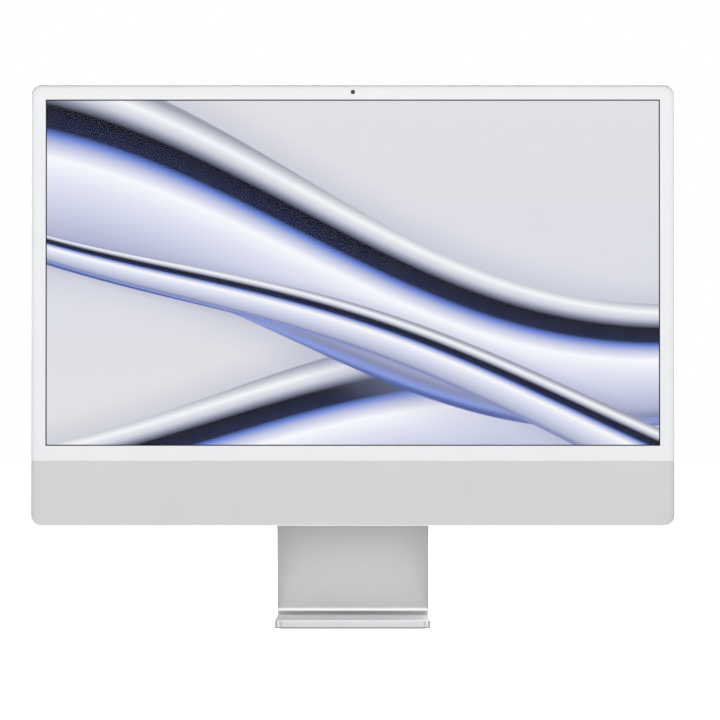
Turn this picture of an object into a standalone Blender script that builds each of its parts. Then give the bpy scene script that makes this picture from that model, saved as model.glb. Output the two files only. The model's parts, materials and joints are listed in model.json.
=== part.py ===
"""All-in-one desktop computer: a slim display with the computer in its chin, hinged on a bent plate stand.

Metres, +Z up. The screen faces -Y and +X is to the right seen from the front.
The origin is on the desk, under the middle of the foot.
"""

import math

import bmesh
import bpy
from mathutils import Matrix, Vector

MM = 0.001

# Display housing
BODY_WIDTH = 547 * MM
BODY_HEIGHT = 375 * MM
BODY_DEPTH = 11.5 * MM
BODY_CORNER = 9.1 * MM
BODY_LIFT = 84.6 * MM  # underside of the housing over the desk
BODY_FRONT = -4 * MM  # front plane, from the middle of the foot
BACK_WALL = 1.3 * MM
SIDE_WALL = 3 * MM
RIM_WALL = 0.6 * MM  # thin lip round the glass
EDGE_ROUND = 0.8 * MM

# Clearances
FIT = 0.3 * MM  # between pieces that touch or seat
RUN = 0.4 * MM  # between pieces that turn or slide

# Glass, screen and what lies behind it
GLASS_THICK = 1.1 * MM
GLASS_SINK = 0.1 * MM
GASKET_THICK = 0.6 * MM
BEZEL = 12.8 * MM  # printed border round the screen, on all four sides
CHIN_HEIGHT = 55.3 * MM
PANEL_BORDER = 2.5 * MM  # the panel runs this far behind the printed border
PANEL_THICK = 1.2 * MM
GUIDE_THICK = 1.6 * MM
TRAY_WALL = 0.6 * MM
LIGHT_BAR_HEIGHT = 2 * MM

# Camera, sensors and antennas above the screen
CAMERA_SIZE = (9 * MM, 5.6 * MM)
LENS_RADIUS = 1.2 * MM
STRIP_THICK = 1 * MM  # every thin circuit strip and small board
SENSOR_LENGTH = 34 * MM
ANTENNA_LENGTH = 60 * MM
ANTENNA_OFFSET = 140 * MM  # from the middle to each antenna
TIMING_BOARD_SIZE = (180 * MM, 24 * MM)
CABLE_WIDTH = 24 * MM
CABLE_OFFSET = 31 * MM

# Stand
STAND_WIDTH = 130 * MM
STAND_DEPTH = 147 * MM
STAND_PLATE = 6.4 * MM
STAND_BEND = 5 * MM  # inside radius between foot and neck
STAND_CORNER = 7 * MM
CABLE_HOLE = 15 * MM
PAD_THICK = 1.2 * MM
PAD_PROUD = 0.6 * MM
PAD_MARGIN = 4 * MM
PAD_CORNER = 5 * MM

# Tilt hinge
HINGE_RISE = 136 * MM  # hinge axis over the underside of the housing
BARREL_RADIUS = 7.5 * MM
BARREL_LENGTH = 27 * MM  # each end barrel, on the stand
BARREL_GAP = 0.7 * MM  # between a barrel and the base plate
SHAFT_RADIUS = 3 * MM
SPRING_BORE = 5.6 * MM
SPRING_BORE_DEPTH = 19 * MM
SPRING_WIRE = 0.5 * MM
SPRING_TURNS = 6
CLIP_LENGTH = 5 * MM
CAP_LENGTH = 2.6 * MM
BASE_MARGIN = 9 * MM  # the base plate ends this far inside the stand's sides
BASE_HEIGHT = 36 * MM
BASE_THICK = 2 * MM
BASE_CORNER = 3 * MM
BACKING_THICK = 1.6 * MM
SCREW_RADIUS = 1.2 * MM
SCREW_HEAD = 2.8 * MM
SCREW_HEAD_THICK = 1.3 * MM
SCREW_BITE = 5.6 * MM  # into the middle knuckle
SCREW_INSET = 7.5 * MM  # from each end of the knuckle
SCREW_SPREAD = 8.4 * MM  # upper row to lower row

# Chin: board, cooling and connectors
PORT_RISE = 27 * MM  # connector centres over the underside of the housing
CHIN_GAP = 0.5 * MM  # free space behind the glass
PART_GAP = 2 * MM  # between neighbours that don't touch
BOARD_LENGTH = 176 * MM
BOARD_THICK = 1.2 * MM
BOARD_CORNER = 2 * MM
CHIP_SIZE = 30 * MM
CHIP_THICK = 1.1 * MM
CHIP_OFFSET = 42 * MM
COLD_PLATE_SIZE = 38 * MM
COLD_PLATE_THICK = 1.2 * MM
PIPE_THICK = 1.5 * MM
FAN_SIZE = 44 * MM
FAN_WALL = 0.8 * MM
FAN_CORNER = 4 * MM
FAN_INLET = 12 * MM
ROTOR_RADIUS = 16 * MM
HUB_RADIUS = 8 * MM
POST_RADIUS = 1.2 * MM
BLADES = 23
BLADE_SWEEP = math.radians(22)
BLADE_SHARE = 0.28  # of the pitch that a blade fills at its root
FIN_HEIGHT = 6.4 * MM
FINS = 14
FIN_BASE = 0.6 * MM
CELL_RADIUS = 10 * MM
CELL_THICK = 3.2 * MM
INLET_RADIUS = 8.6 * MM
INLET_WALL = 1 * MM
INLET_DEPTH = 5.5 * MM
INLET_FLANGE = 1.4 * MM
CONTACT_SIZE = (9.4 * MM, 3.4 * MM, 0.8 * MM)
PORTS = 4
PORT_PITCH = 16 * MM
PORT_EDGE = 26 * MM  # outermost connector from the right edge
PORT_SIZE = (3.2 * MM, 9 * MM)
PORT_WALL = 0.35 * MM
PORT_DEPTH = 7.5 * MM
PORT_MARGIN = 2 * MM  # of the port board round its connectors
TONGUE_SIZE = (0.7 * MM, 6.6 * MM, 4.8 * MM)
JACK_BORE = 1.8 * MM
JACK_BODY = (13.5 * MM, 5.6 * MM)
BUTTON_RADIUS = 5.6 * MM
BUTTON_EDGE = 35 * MM  # power button from the left edge
BUTTON_TRAVEL = 0.5 * MM
BUTTON_FLANGE = 0.9 * MM  # both as wide and as thick
BUTTON_STEM = (1.2 * MM, 1.2 * MM)
SWITCH_SIZE = (6 * MM, 1.8 * MM)
SWITCH_BRACKET = (22 * MM, 11 * MM, 0.6 * MM)
SPEAKER_HEIGHT = 10.6 * MM
SPEAKER_CORNER = 1.5 * MM
SPEAKER_MOUTHS = (0.3, 0.7)  # places along the bar
MOUTH_DEPTH = 3.5 * MM
WOOFER_SIZE = (96 * MM, 128 * MM)
WOOFER_EDGE = 24 * MM
WOOFER_CORNER = 8 * MM
CONE_RADIUS = 32 * MM
CONE_DEPTH = 1.2 * MM
GRILLE_WIDTH = 5 * MM
GRILLE_THICK = 1.3 * MM
FLANGE_STEP = 1 * MM
SLOT_SIZE = (5.4 * MM, 1.5 * MM)
SLOT_PITCH = 8 * MM

# Mesh detail
RING = 24
FINE_RING = 32
COARSE_RING = 12

# Places that follow from the sizes above
LEFT, RIGHT = -BODY_WIDTH / 2, BODY_WIDTH / 2
BOTTOM, TOP = BODY_LIFT, BODY_LIFT + BODY_HEIGHT
BACK = BODY_FRONT + BODY_DEPTH
INNER_BACK = BACK - BACK_WALL
GLASS_FRONT = BODY_FRONT + GLASS_SINK
GLASS_BACK = GLASS_FRONT + GLASS_THICK
GASKET_FRONT = GLASS_BACK + FIT
LEDGE = GASKET_FRONT + GASKET_THICK + FIT
BODY_RECT = (LEFT, BOTTOM, RIGHT, TOP)
WINDOW_RECT = (LEFT + BEZEL, BOTTOM + CHIN_HEIGHT + BEZEL, RIGHT - BEZEL, TOP - BEZEL)
PANEL_FRONT = GLASS_BACK + FIT
GUIDE_FRONT = PANEL_FRONT + PANEL_THICK + FIT
TRAY_FLOOR = GUIDE_FRONT + GUIDE_THICK + FIT
TRAY_BACK = TRAY_FLOOR + TRAY_WALL
PORT_Z = BOTTOM + PORT_RISE
BASE_FRONT = BACK + FIT
HINGE_Y = BASE_FRONT + BASE_THICK + BARREL_GAP + BARREL_RADIUS
HINGE_Z = BOTTOM + HINGE_RISE
FOOT_FRONT, FOOT_REAR = -STAND_DEPTH / 2, STAND_DEPTH / 2
FOOT_LOW = PAD_PROUD
FOOT_TOP = FOOT_LOW + STAND_PLATE
BEND_Y = FOOT_REAR - STAND_BEND - STAND_PLATE
BEND_Z = FOOT_TOP + STAND_BEND
CHIN_FRONT = GLASS_BACK + CHIN_GAP
CHIN_BACK = INNER_BACK - CHIN_GAP
CHIN_MIDDLE = (GLASS_BACK + INNER_BACK) / 2
PLATE_FRONT = CHIN_FRONT + PIPE_THICK + FIT
CHIP_FRONT = PLATE_FRONT + COLD_PLATE_THICK + FIT
BOARD_FRONT = CHIP_FRONT + CHIP_THICK + FIT
BOARD_BACK = BOARD_FRONT + BOARD_THICK
CHIN_FLOOR = BOTTOM + SIDE_WALL
FIN_BOTTOM = CHIN_FLOOR + FIT
FAN_BOTTOM = FIN_BOTTOM + FIN_HEIGHT + FIT
FAN_X = BOARD_LENGTH / 2 + PART_GAP + FAN_SIZE / 2
FAN_Z = FAN_BOTTOM + FAN_SIZE / 2
STRIP_LOW = WINDOW_RECT[3] + PANEL_BORDER + TRAY_WALL + 2 * FIT
STRIP_TOP = TOP - SIDE_WALL - FIT
KNUCKLE_END = STAND_WIDTH / 2 - BARREL_LENGTH - RUN
BASE_LENGTH = STAND_WIDTH - 2 * BASE_MARGIN
BORE = SHAFT_RADIUS + FIT
BUTTON_X = LEFT + BUTTON_EDGE
SCREW_HOLE = SCREW_RADIUS + 2 * FIT


def lean_angle():
    """Angle of the neck from upright, so that it leaves the bend squarely and meets the hinge axis."""
    to_hinge = Vector((HINGE_Y - BEND_Y, HINGE_Z - BEND_Z))
    middle_radius = STAND_BEND + STAND_PLATE / 2
    return math.atan2(to_hinge.y, to_hinge.x) - math.acos(middle_radius / to_hinge.length)


LEAN = lean_angle()


# Outlines: lists of (u, v) points, anticlockwise
def arc(centre, radius, start, end, steps):
    """Points on an arc from start to end, in radians, both ends included."""
    turn = (end - start) / steps
    return [
        (centre[0] + radius * math.cos(start + turn * i), centre[1] + radius * math.sin(start + turn * i))
        for i in range(steps + 1)
    ]


def circle(centre, radius, steps=RING):
    return arc(centre, radius, 0, math.tau, steps)[:-1]


def rectangle(rect, corner=0.0, steps=6):
    """(u0, v0, u1, v1) with its corners rounded."""
    u0, v0, u1, v1 = rect
    if corner <= 0:
        return [(u0, v0), (u1, v0), (u1, v1), (u0, v1)]
    quarter = math.pi / 2
    middles = [(u1, v1), (u0, v1), (u0, v0), (u1, v0)]
    inward = [(-corner, -corner), (corner, -corner), (corner, corner), (-corner, corner)]
    points = []
    for i, ((u, v), (du, dv)) in enumerate(zip(middles, inward)):
        points += arc((u + du, v + dv), corner, quarter * i, quarter * (i + 1), steps)
    return points


def obround(centre, width, height, steps=5):
    """An upright slot with round ends."""
    u, v = centre
    rise = (height - width) / 2
    return arc((u, v + rise), width / 2, 0, math.pi, steps) + arc(
        (u, v - rise), width / 2, math.pi, math.tau, steps
    )


def grow(rect, by):
    return (rect[0] - by, rect[1] - by, rect[2] + by, rect[3] + by)


def around(u, v, width, height):
    return (u - width / 2, v - height / 2, u + width / 2, v + height / 2)


# Solids: each adds one closed shape to a mesh
def point_at(axis, u, v, along):
    """A point from an outline's (u, v): YZ for axis X, XZ for axis Y and XY for axis Z."""
    if axis == "X":
        return Vector((along, u, v))
    if axis == "Y":
        return Vector((u, along, v))
    return Vector((u, v, along))


def prism(outline, low, high, axis="Y", mesh=None):
    """An outline pulled straight from low to high."""
    mesh = mesh or bmesh.new()
    ends = [[mesh.verts.new(point_at(axis, u, v, w)) for u, v in outline] for w in (low, high)]
    mesh.faces.new(ends[0])
    mesh.faces.new(ends[1])
    for i in range(len(outline)):
        j = (i + 1) % len(outline)
        mesh.faces.new((ends[0][i], ends[0][j], ends[1][j], ends[1][i]))
    return mesh


def turned(profile, centre, axis="Y", steps=RING):
    """A closed (radius, along) profile turned round an axis through centre. A radius of 0 is on the axis."""
    mesh = bmesh.new()
    rings = []
    for radius, along in profile:
        if radius == 0:
            rings.append([mesh.verts.new(point_at(axis, centre[0], centre[1], along))])
        else:
            ring = circle(centre, radius, steps)
            rings.append([mesh.verts.new(point_at(axis, u, v, along)) for u, v in ring])
    for near, far in zip(rings, rings[1:] + rings[:1]):
        if len(near) == len(far) == 1:
            continue
        for i in range(steps):
            j = (i + 1) % steps
            corners = [near[i % len(near)], near[j % len(near)], far[j % len(far)], far[i % len(far)]]
            mesh.faces.new(list(dict.fromkeys(corners)))
    return mesh


def swept(path, radius, sides=6):
    """A round bar along a list of points, closed at both ends."""
    mesh = bmesh.new()
    rings = []
    for i, point in enumerate(path):
        ahead = (path[min(i + 1, len(path) - 1)] - path[max(i - 1, 0)]).normalized()
        out = ahead.cross(Vector((1, 0, 0))).normalized()
        up = ahead.cross(out)
        rings.append([mesh.verts.new(point + out * u + up * v) for u, v in circle((0, 0), radius, sides)])
    for near, far in zip(rings, rings[1:]):
        for i in range(sides):
            j = (i + 1) % sides
            mesh.faces.new((near[i], near[j], far[j], far[i]))
    mesh.faces.new(rings[0])
    mesh.faces.new(rings[-1])
    return mesh


# Objects
LOOKS = {
    "aluminium": ((0.66, 0.665, 0.675), 0.34, 1.0),
    "glass": ((0.86, 0.87, 0.88), 0.03, 0.0),
    "foam": ((0.05, 0.05, 0.05), 0.9, 0.0),
    "screen": ((0.55, 0.57, 0.68), 0.2, 0.0),
    "acrylic": ((0.85, 0.87, 0.9), 0.15, 0.0),
    "steel": ((0.55, 0.55, 0.56), 0.3, 1.0),
    "circuit": ((0.02, 0.05, 0.03), 0.5, 0.0),
    "black_plastic": ((0.02, 0.02, 0.022), 0.4, 0.0),
    "copper": ((0.75, 0.42, 0.27), 0.3, 1.0),
    "rubber": ((0.55, 0.56, 0.57), 0.8, 0.0),
    "lens": ((0.01, 0.01, 0.015), 0.03, 0.0),
}


def look(name):
    """The material of that name, made once."""
    if name in bpy.data.materials:
        return bpy.data.materials[name]
    colour, roughness, metallic = LOOKS[name]
    material = bpy.data.materials.new(name)
    material.use_nodes = True
    shader = material.node_tree.nodes["Principled BSDF"]
    shader.inputs["Base Color"].default_value = (*colour, 1)
    shader.inputs["Roughness"].default_value = roughness
    shader.inputs["Metallic"].default_value = metallic
    return material


def new_object(name, mesh, material=None):
    bmesh.ops.recalc_face_normals(mesh, faces=mesh.faces)
    data = bpy.data.meshes.new(name)
    mesh.to_mesh(data)
    mesh.free()
    data.shade_smooth()
    data.set_sharp_from_angle(angle=math.radians(30))
    made = bpy.data.objects.new(name, data)
    bpy.context.scene.collection.objects.link(made)
    if material:
        data.materials.append(look(material))
    return made


def body(name, place, parent=None):
    """An empty at that place, on the axis that its pieces turn or slide about."""
    made = bpy.data.objects.new(name, None)
    bpy.context.scene.collection.objects.link(made)
    made.empty_display_size = 20 * MM
    made.parent = parent
    made.location = place - parent.matrix_world.translation if parent else place
    bpy.context.view_layer.update()
    return made


def cut(mesh):
    return "DIFFERENCE", mesh


def join(mesh):
    return "UNION", mesh


def piece(name, material, parent, mesh, *steps):
    """One sub-part, hung on its body: its mesh, then the shapes cut from it or joined to it in turn."""
    made = new_object(name, mesh, material)
    to_parent = Matrix.Translation(-parent.matrix_world.translation)
    made.data.transform(to_parent)
    made.parent = parent
    for number, (operation, shape) in enumerate(steps, 1):
        helper = new_object(f"{name}_shape_{number}", shape)
        helper.data.transform(to_parent)
        helper.parent = made
        helper.hide_render = True
        helper.display_type = "WIRE"
        modifier = made.modifiers.new(helper.name, "BOOLEAN")
        modifier.operation = operation
        modifier.solver = "EXACT"
        modifier.object = helper


# Stand
def neck_y(z):
    """Middle of the neck plate at that height."""
    return HINGE_Y + (HINGE_Z - z) * math.tan(LEAN)


def leg_outline():
    """Side view of the foot, the bend, the neck and the hinge barrel, as one line round the plate."""
    bend = (BEND_Y, BEND_Z)
    down = LEAN - math.pi / 2
    spread = math.asin(STAND_PLATE / 2 / BARREL_RADIUS)
    return [
        (FOOT_FRONT, FOOT_LOW),
        *arc(bend, STAND_BEND + STAND_PLATE, -math.pi / 2, LEAN, 8),
        *arc((HINGE_Y, HINGE_Z), BARREL_RADIUS, down + spread, down - spread + math.tau, 20),
        *arc(bend, STAND_BEND, LEAN, -math.pi / 2, 6),
        (FOOT_FRONT, FOOT_TOP),
    ]


def pad_rect():
    """Outline of the foot pad, inside the flat part of the foot."""
    half = STAND_WIDTH / 2 - PAD_MARGIN
    return (-half, FOOT_FRONT + PAD_MARGIN, half, BEND_Y)


def stand_leg(parent):
    """The bent plate, with a barrel at each end of its top edge and a notch for the knuckle between."""
    half = STAND_WIDTH / 2
    hinge = (HINGE_Y, HINGE_Z)
    plate = prism(leg_outline(), -half, half, "X")
    front = [e for e in plate.edges if all(abs(v.co.y - FOOT_FRONT) < FIT for v in e.verts)]
    corners = [e for e in front if abs(e.verts[0].co.x - e.verts[1].co.x) < FIT]
    bmesh.ops.bevel(plate, geom=corners, offset=STAND_CORNER, segments=6, profile=0.5, affect="EDGES")

    notch_end = KNUCKLE_END + RUN
    steps = [
        cut(prism(circle(hinge, BARREL_RADIUS + 2 * RUN, FINE_RING), -notch_end, notch_end, "X")),
        cut(prism(circle(hinge, BORE), -half - FIT, half + FIT, "X")),
    ]
    for side in (-1, 1):
        ends = sorted((side * (half - SPRING_BORE_DEPTH), side * (half + FIT)))
        steps.append(cut(prism(circle(hinge, SPRING_BORE), *ends, "X")))
    hole = prism(circle((0, 0), CABLE_HOLE, FINE_RING), -STAND_PLATE, STAND_PLATE)
    hole.transform(Matrix.Translation((0, neck_y(PORT_Z), PORT_Z)) @ Matrix.Rotation(LEAN, 4, "X"))
    steps.append(cut(hole))
    groove = rectangle(grow(pad_rect(), FIT), PAD_CORNER)
    steps.append(cut(prism(groove, 0, PAD_THICK + FIT, "Z")))
    piece("stand_leg", "aluminium", parent, plate, *steps)


def foot_pad(parent):
    piece("foot_pad", "rubber", parent, prism(rectangle(pad_rect(), PAD_CORNER), 0, PAD_THICK, "Z"))


def hinge_insides(parent, side, word):
    """What one end barrel holds: a friction clip, a counterbalance spring and the cap that closes it."""
    hinge = (HINGE_Y, HINGE_Z)
    half = STAND_WIDTH / 2
    snug = SPRING_BORE - FIT
    inner = half - SPRING_BORE_DEPTH + FIT
    ends = sorted((side * inner, side * (inner + CLIP_LENGTH)))
    clip = turned([(BORE, ends[0]), (snug, ends[0]), (snug, ends[1]), (BORE, ends[1])], hinge, "X")
    slit = rectangle(around(HINGE_Y, HINGE_Z + SPRING_BORE, 2 * RUN, 2 * SPRING_BORE))
    piece(f"friction_clip_{word}", "steel", parent, clip, cut(prism(slit, ends[0] - FIT, ends[1] + FIT, "X")))

    cap_inner = half - CAP_LENGTH
    start = inner + CLIP_LENGTH + FIT + SPRING_WIRE
    end = cap_inner - FIT - SPRING_WIRE
    mean = (BORE + SPRING_BORE) / 2
    coil = []
    for i in range(SPRING_TURNS * COARSE_RING + 1):
        angle = math.tau * i / COARSE_RING
        along = start + (end - start) * i / (SPRING_TURNS * COARSE_RING)
        y, z = HINGE_Y + mean * math.cos(angle), HINGE_Z + mean * math.sin(angle)
        coil.append(Vector((side * along, y, z)))
    piece(f"counterbalance_spring_{word}", "steel", parent, swept(coil, SPRING_WIRE))

    chamfer = EDGE_ROUND / 2
    cap = [
        (0, side * cap_inner),
        (snug, side * cap_inner),
        (snug, side * (half - chamfer)),
        (snug - chamfer, side * half),
        (0, side * half),
    ]
    piece(f"hinge_cap_{word}", "aluminium", parent, turned(cap, hinge, "X"))


# Display housing
def port_x(number):
    """Middle of a connector, counted from the one nearest the right edge."""
    return RIGHT - PORT_EDGE - PORT_PITCH * number


def screw_places():
    across = KNUCKLE_END - SCREW_INSET
    up = SCREW_SPREAD / 2
    return [(x, HINGE_Z + z) for x in (-across, across) for z in (-up, up)]


def screw_holes(low, high):
    mesh = bmesh.new()
    for place in screw_places():
        prism(circle(place, SCREW_HOLE, COARSE_RING), low, high, mesh=mesh)
    return mesh


def speaker_span():
    """Inner and outer end of a speaker bar, between the fan and the corner of the housing."""
    return FAN_X + FAN_SIZE / 2 + PART_GAP, RIGHT - BODY_CORNER - PART_GAP


def grille_spans():
    """Name, left end and right end of each grille in the underside, under the fans and the speakers."""
    inner, outer = speaker_span()
    spans = []
    for side, word in ((-1, "left"), (1, "right")):
        air = sorted((side * (FAN_X - FAN_SIZE / 2 + PART_GAP), side * (inner - 2 * PART_GAP)))
        sound = sorted((side * (inner + PART_GAP), side * (outer - PART_GAP)))
        spans += [(f"air_grille_{word}", *air), (f"speaker_grille_{word}", *sound)]
    return spans


def grille_rect(start, end):
    """Plan outline of a grille, set in the middle of the cavity."""
    return (start, CHIN_MIDDLE - GRILLE_WIDTH / 2, end, CHIN_MIDDLE + GRILLE_WIDTH / 2)


def rear_housing(parent):
    """The tub: back and side walls in one piece, open to the front, with a lip and a ledge for the glass."""
    shell = prism(rectangle(BODY_RECT, BODY_CORNER), BODY_FRONT, BACK)
    rim = [e for e in shell.edges if all(abs(v.co.y - BACK) < FIT for v in e.verts)]
    bmesh.ops.bevel(shell, geom=rim, offset=EDGE_ROUND, segments=2, profile=0.5, affect="EDGES")

    ahead, behind = BODY_FRONT - FIT, BACK + FIT
    cavity = rectangle(grow(BODY_RECT, -SIDE_WALL), BODY_CORNER - SIDE_WALL)
    seat = rectangle(grow(BODY_RECT, -RIM_WALL), BODY_CORNER - RIM_WALL)

    holes = screw_holes(TRAY_BACK, behind)
    inlet = INLET_RADIUS + INLET_WALL + FIT
    prism(circle((0, PORT_Z), inlet, FINE_RING), TRAY_BACK, behind, mesh=holes)
    prism(circle((BUTTON_X, PORT_Z), BUTTON_RADIUS + FIT), TRAY_BACK, behind, mesh=holes)
    wide, high = PORT_SIZE
    for number in range(PORTS):
        outline = obround((port_x(number), PORT_Z), wide + 2 * FIT, high + 2 * FIT)
        prism(outline, TRAY_BACK, behind, mesh=holes)
    jack = circle((CHIN_MIDDLE, PORT_Z), JACK_BODY[1] / 2 + FIT)
    prism(jack, LEFT - FIT, LEFT + SIDE_WALL + FIT, "X", holes)

    windows = bmesh.new()
    steps = bmesh.new()
    inside = CHIN_FLOOR + FIT
    for _, start, end in grille_spans():
        opening = grille_rect(start, end)
        prism(rectangle(grow(opening, FIT)), BOTTOM - FIT, inside, "Z", windows)
        prism(rectangle(grow(opening, FLANGE_STEP + FIT)), BOTTOM + GRILLE_THICK + FIT, inside, "Z", steps)
    hollows = [cut(prism(cavity, ahead, INNER_BACK)), cut(prism(seat, ahead, LEDGE))]
    piece("rear_housing", "aluminium", parent, shell, *hollows, cut(holes), cut(windows), cut(steps))


def bottom_grille(parent, name, start, end):
    """A slotted strip that drops into the underside from inside, held by its flange."""
    opening = grille_rect(start, end)
    flange_low = BOTTOM + GRILLE_THICK + 2 * FIT
    flange_top = CHIN_FLOOR - FIT
    strip = prism(rectangle(opening), BOTTOM, flange_top, "Z")
    flange = prism(rectangle(grow(opening, FLANGE_STEP)), flange_low, flange_top, "Z")
    slots = bmesh.new()
    count = int((end - start) / SLOT_PITCH)
    for i in range(count):
        x = (start + end) / 2 + (i - (count - 1) / 2) * SLOT_PITCH
        prism(rectangle(around(x, CHIN_MIDDLE, *SLOT_SIZE)), BOTTOM - FIT, CHIN_FLOOR, "Z", slots)
    piece(name, "aluminium", parent, strip, join(flange), cut(slots))


def screen_stack(parent):
    """Front glass, gasket, panel, light guide with its light bar, and the tray that carries them."""
    glass_rect = grow(BODY_RECT, -RIM_WALL - FIT)
    glass_corner = BODY_CORNER - RIM_WALL - FIT
    piece("cover_glass", "glass", parent, prism(rectangle(glass_rect, glass_corner), GLASS_FRONT, GLASS_BACK))

    gasket_back = GASKET_FRONT + GASKET_THICK
    ring = prism(rectangle(grow(glass_rect, -FIT), glass_corner - FIT), GASKET_FRONT, gasket_back)
    inside = rectangle(grow(BODY_RECT, FIT - SIDE_WALL), BODY_CORNER + FIT - SIDE_WALL)
    hole = prism(inside, GASKET_FRONT - FIT, gasket_back + FIT)
    piece("glass_gasket", "foam", parent, ring, cut(hole))

    panel_rect = grow(WINDOW_RECT, PANEL_BORDER)
    piece("lcd_panel", "screen", parent, prism(rectangle(panel_rect), PANEL_FRONT, PANEL_FRONT + PANEL_THICK))

    left, low, right, high = panel_rect
    bar_top = low + LIGHT_BAR_HEIGHT
    guide_back = GUIDE_FRONT + GUIDE_THICK
    guide = prism(rectangle((left, bar_top + FIT, right, high)), GUIDE_FRONT, guide_back)
    piece("light_guide", "acrylic", parent, guide)
    bar = prism(rectangle((left + PART_GAP, low, right - PART_GAP, bar_top)), GUIDE_FRONT, guide_back)
    piece("led_light_bar", "circuit", parent, bar)

    tray = prism(rectangle(grow(panel_rect, FIT + TRAY_WALL)), GUIDE_FRONT, TRAY_BACK)
    hollow = prism(rectangle(grow(panel_rect, FIT)), GUIDE_FRONT - FIT, TRAY_FLOOR)
    piece("display_back_tray", "aluminium", parent, tray, cut(hollow))


def camera_and_strips(parent):
    """Camera with its lens, the sensor strip and two antenna strips, in the space over the screen."""
    wide, deep = CAMERA_SIZE
    z = (STRIP_LOW + STRIP_TOP) / 2
    barrel_radius = (STRIP_TOP - STRIP_LOW) / 2 - FIT
    front = GLASS_BACK + 2 * FIT
    case_front = front + 2 * FIT
    lens_front, lens_back = front + FIT, front + 4 * FIT
    case = prism(rectangle((-wide / 2, STRIP_LOW, wide / 2, STRIP_TOP)), case_front, front + deep)
    barrel = prism(circle((0, z), barrel_radius), front, case_front + FIT)
    seat = prism(circle((0, z), LENS_RADIUS + FIT), front - FIT, lens_back + FIT)
    piece("camera_module", "black_plastic", parent, case, join(barrel), cut(seat))
    dome = [(0, lens_front), (LENS_RADIUS * 0.6, lens_front + FIT / 3), (LENS_RADIUS, lens_front + FIT)]
    piece("camera_lens", "lens", parent, turned([*dome, (LENS_RADIUS, lens_back), (0, lens_back)], (0, z)))

    strips = [
        ("sensor_board", wide / 2 + PART_GAP, SENSOR_LENGTH),
        ("antenna_left", -ANTENNA_OFFSET - ANTENNA_LENGTH, ANTENNA_LENGTH),
        ("antenna_right", ANTENNA_OFFSET, ANTENNA_LENGTH),
    ]
    for name, start, length in strips:
        outline = rectangle((start, STRIP_LOW + FIT, start + length, STRIP_TOP - FIT))
        piece(name, "circuit", parent, prism(outline, front, front + STRIP_THICK))


# Hinge, on the display side
def hinge_bracket(parent):
    """Base plate on the back of the housing with the middle knuckle standing out of it."""
    hinge = (HINGE_Y, HINGE_Z)
    base_back = BASE_FRONT + BASE_THICK
    root = (BASE_FRONT + base_back) / 2
    base = prism(rectangle(around(0, HINGE_Z, BASE_LENGTH, BASE_HEIGHT), BASE_CORNER), BASE_FRONT, base_back)
    side_view = [
        (root, HINGE_Z - BARREL_RADIUS),
        *arc(hinge, BARREL_RADIUS, -math.pi / 2, math.pi / 2, 12),
        (root, HINGE_Z + BARREL_RADIUS),
    ]
    knuckle = prism(side_view, -KNUCKLE_END, KNUCKLE_END, "X")
    bore = prism(circle(hinge, BORE), -KNUCKLE_END - FIT, KNUCKLE_END + FIT, "X")
    holes = screw_holes(BACK, BASE_FRONT + SCREW_BITE + FIT)
    piece("hinge_bracket", "aluminium", parent, base, join(knuckle), cut(bore), cut(holes))


def hinge_fixings(parent):
    """Backing plate inside the housing, the screws that clamp the bracket to it, and the hinge shaft."""
    back = INNER_BACK - FIT
    front = back - BACKING_THICK
    plate = prism(rectangle(around(0, HINGE_Z, BASE_LENGTH, BASE_HEIGHT), BASE_CORNER), front, back)
    piece("hinge_backing_plate", "steel", parent, plate, cut(screw_holes(front - FIT, back + FIT)))

    head_back = front - FIT
    head_front = head_back - SCREW_HEAD_THICK
    tip = BASE_FRONT + SCREW_BITE
    profile = [
        (0, head_front),
        (SCREW_HEAD, head_front),
        (SCREW_HEAD, head_back),
        (SCREW_RADIUS, head_back),
        (SCREW_RADIUS, tip),
        (0, tip),
    ]
    for number, place in enumerate(screw_places(), 1):
        piece(f"hinge_screw_{number}", "steel", parent, turned(profile, place, steps=COARSE_RING))

    end = STAND_WIDTH / 2 - CAP_LENGTH - FIT
    piece("hinge_shaft", "steel", parent, prism(circle((HINGE_Y, HINGE_Z), SHAFT_RADIUS), -end, end, "X"))


# Chin
def board_and_cooling(parent):
    """Logic board, clock battery, processor, cold plate and heat pipe."""
    half = BOARD_LENGTH / 2
    board_top = BOTTOM + CHIN_HEIGHT + PART_GAP
    outline = rectangle((-half, FIN_BOTTOM, half, board_top), BOARD_CORNER, 2)
    inlet_clear = INLET_RADIUS + INLET_WALL + INLET_FLANGE + FIT
    hole = prism(circle((0, PORT_Z), inlet_clear), BOARD_FRONT - FIT, BOARD_BACK + FIT)
    piece("logic_board", "circuit", parent, prism(outline, BOARD_FRONT, BOARD_BACK), cut(hole))

    cell_place = (CHIP_OFFSET, board_top - CELL_RADIUS - PART_GAP)
    cell = prism(circle(cell_place, CELL_RADIUS), BOARD_FRONT - FIT - CELL_THICK, BOARD_FRONT - FIT)
    piece("clock_battery", "steel", parent, cell)

    chip = rectangle(around(-CHIP_OFFSET, PORT_Z, CHIP_SIZE, CHIP_SIZE))
    piece("processor", "black_plastic", parent, prism(chip, CHIP_FRONT, CHIP_FRONT + CHIP_THICK))
    plate = rectangle(around(-CHIP_OFFSET, PORT_Z, COLD_PLATE_SIZE, COLD_PLATE_SIZE), BOARD_CORNER, 2)
    piece("cold_plate", "copper", parent, prism(plate, PLATE_FRONT, PLATE_FRONT + COLD_PLATE_THICK))
    piece("heat_pipe", "copper", parent, prism(heat_pipe_outline(), CHIN_FRONT, CHIN_FRONT + PIPE_THICK))


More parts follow.
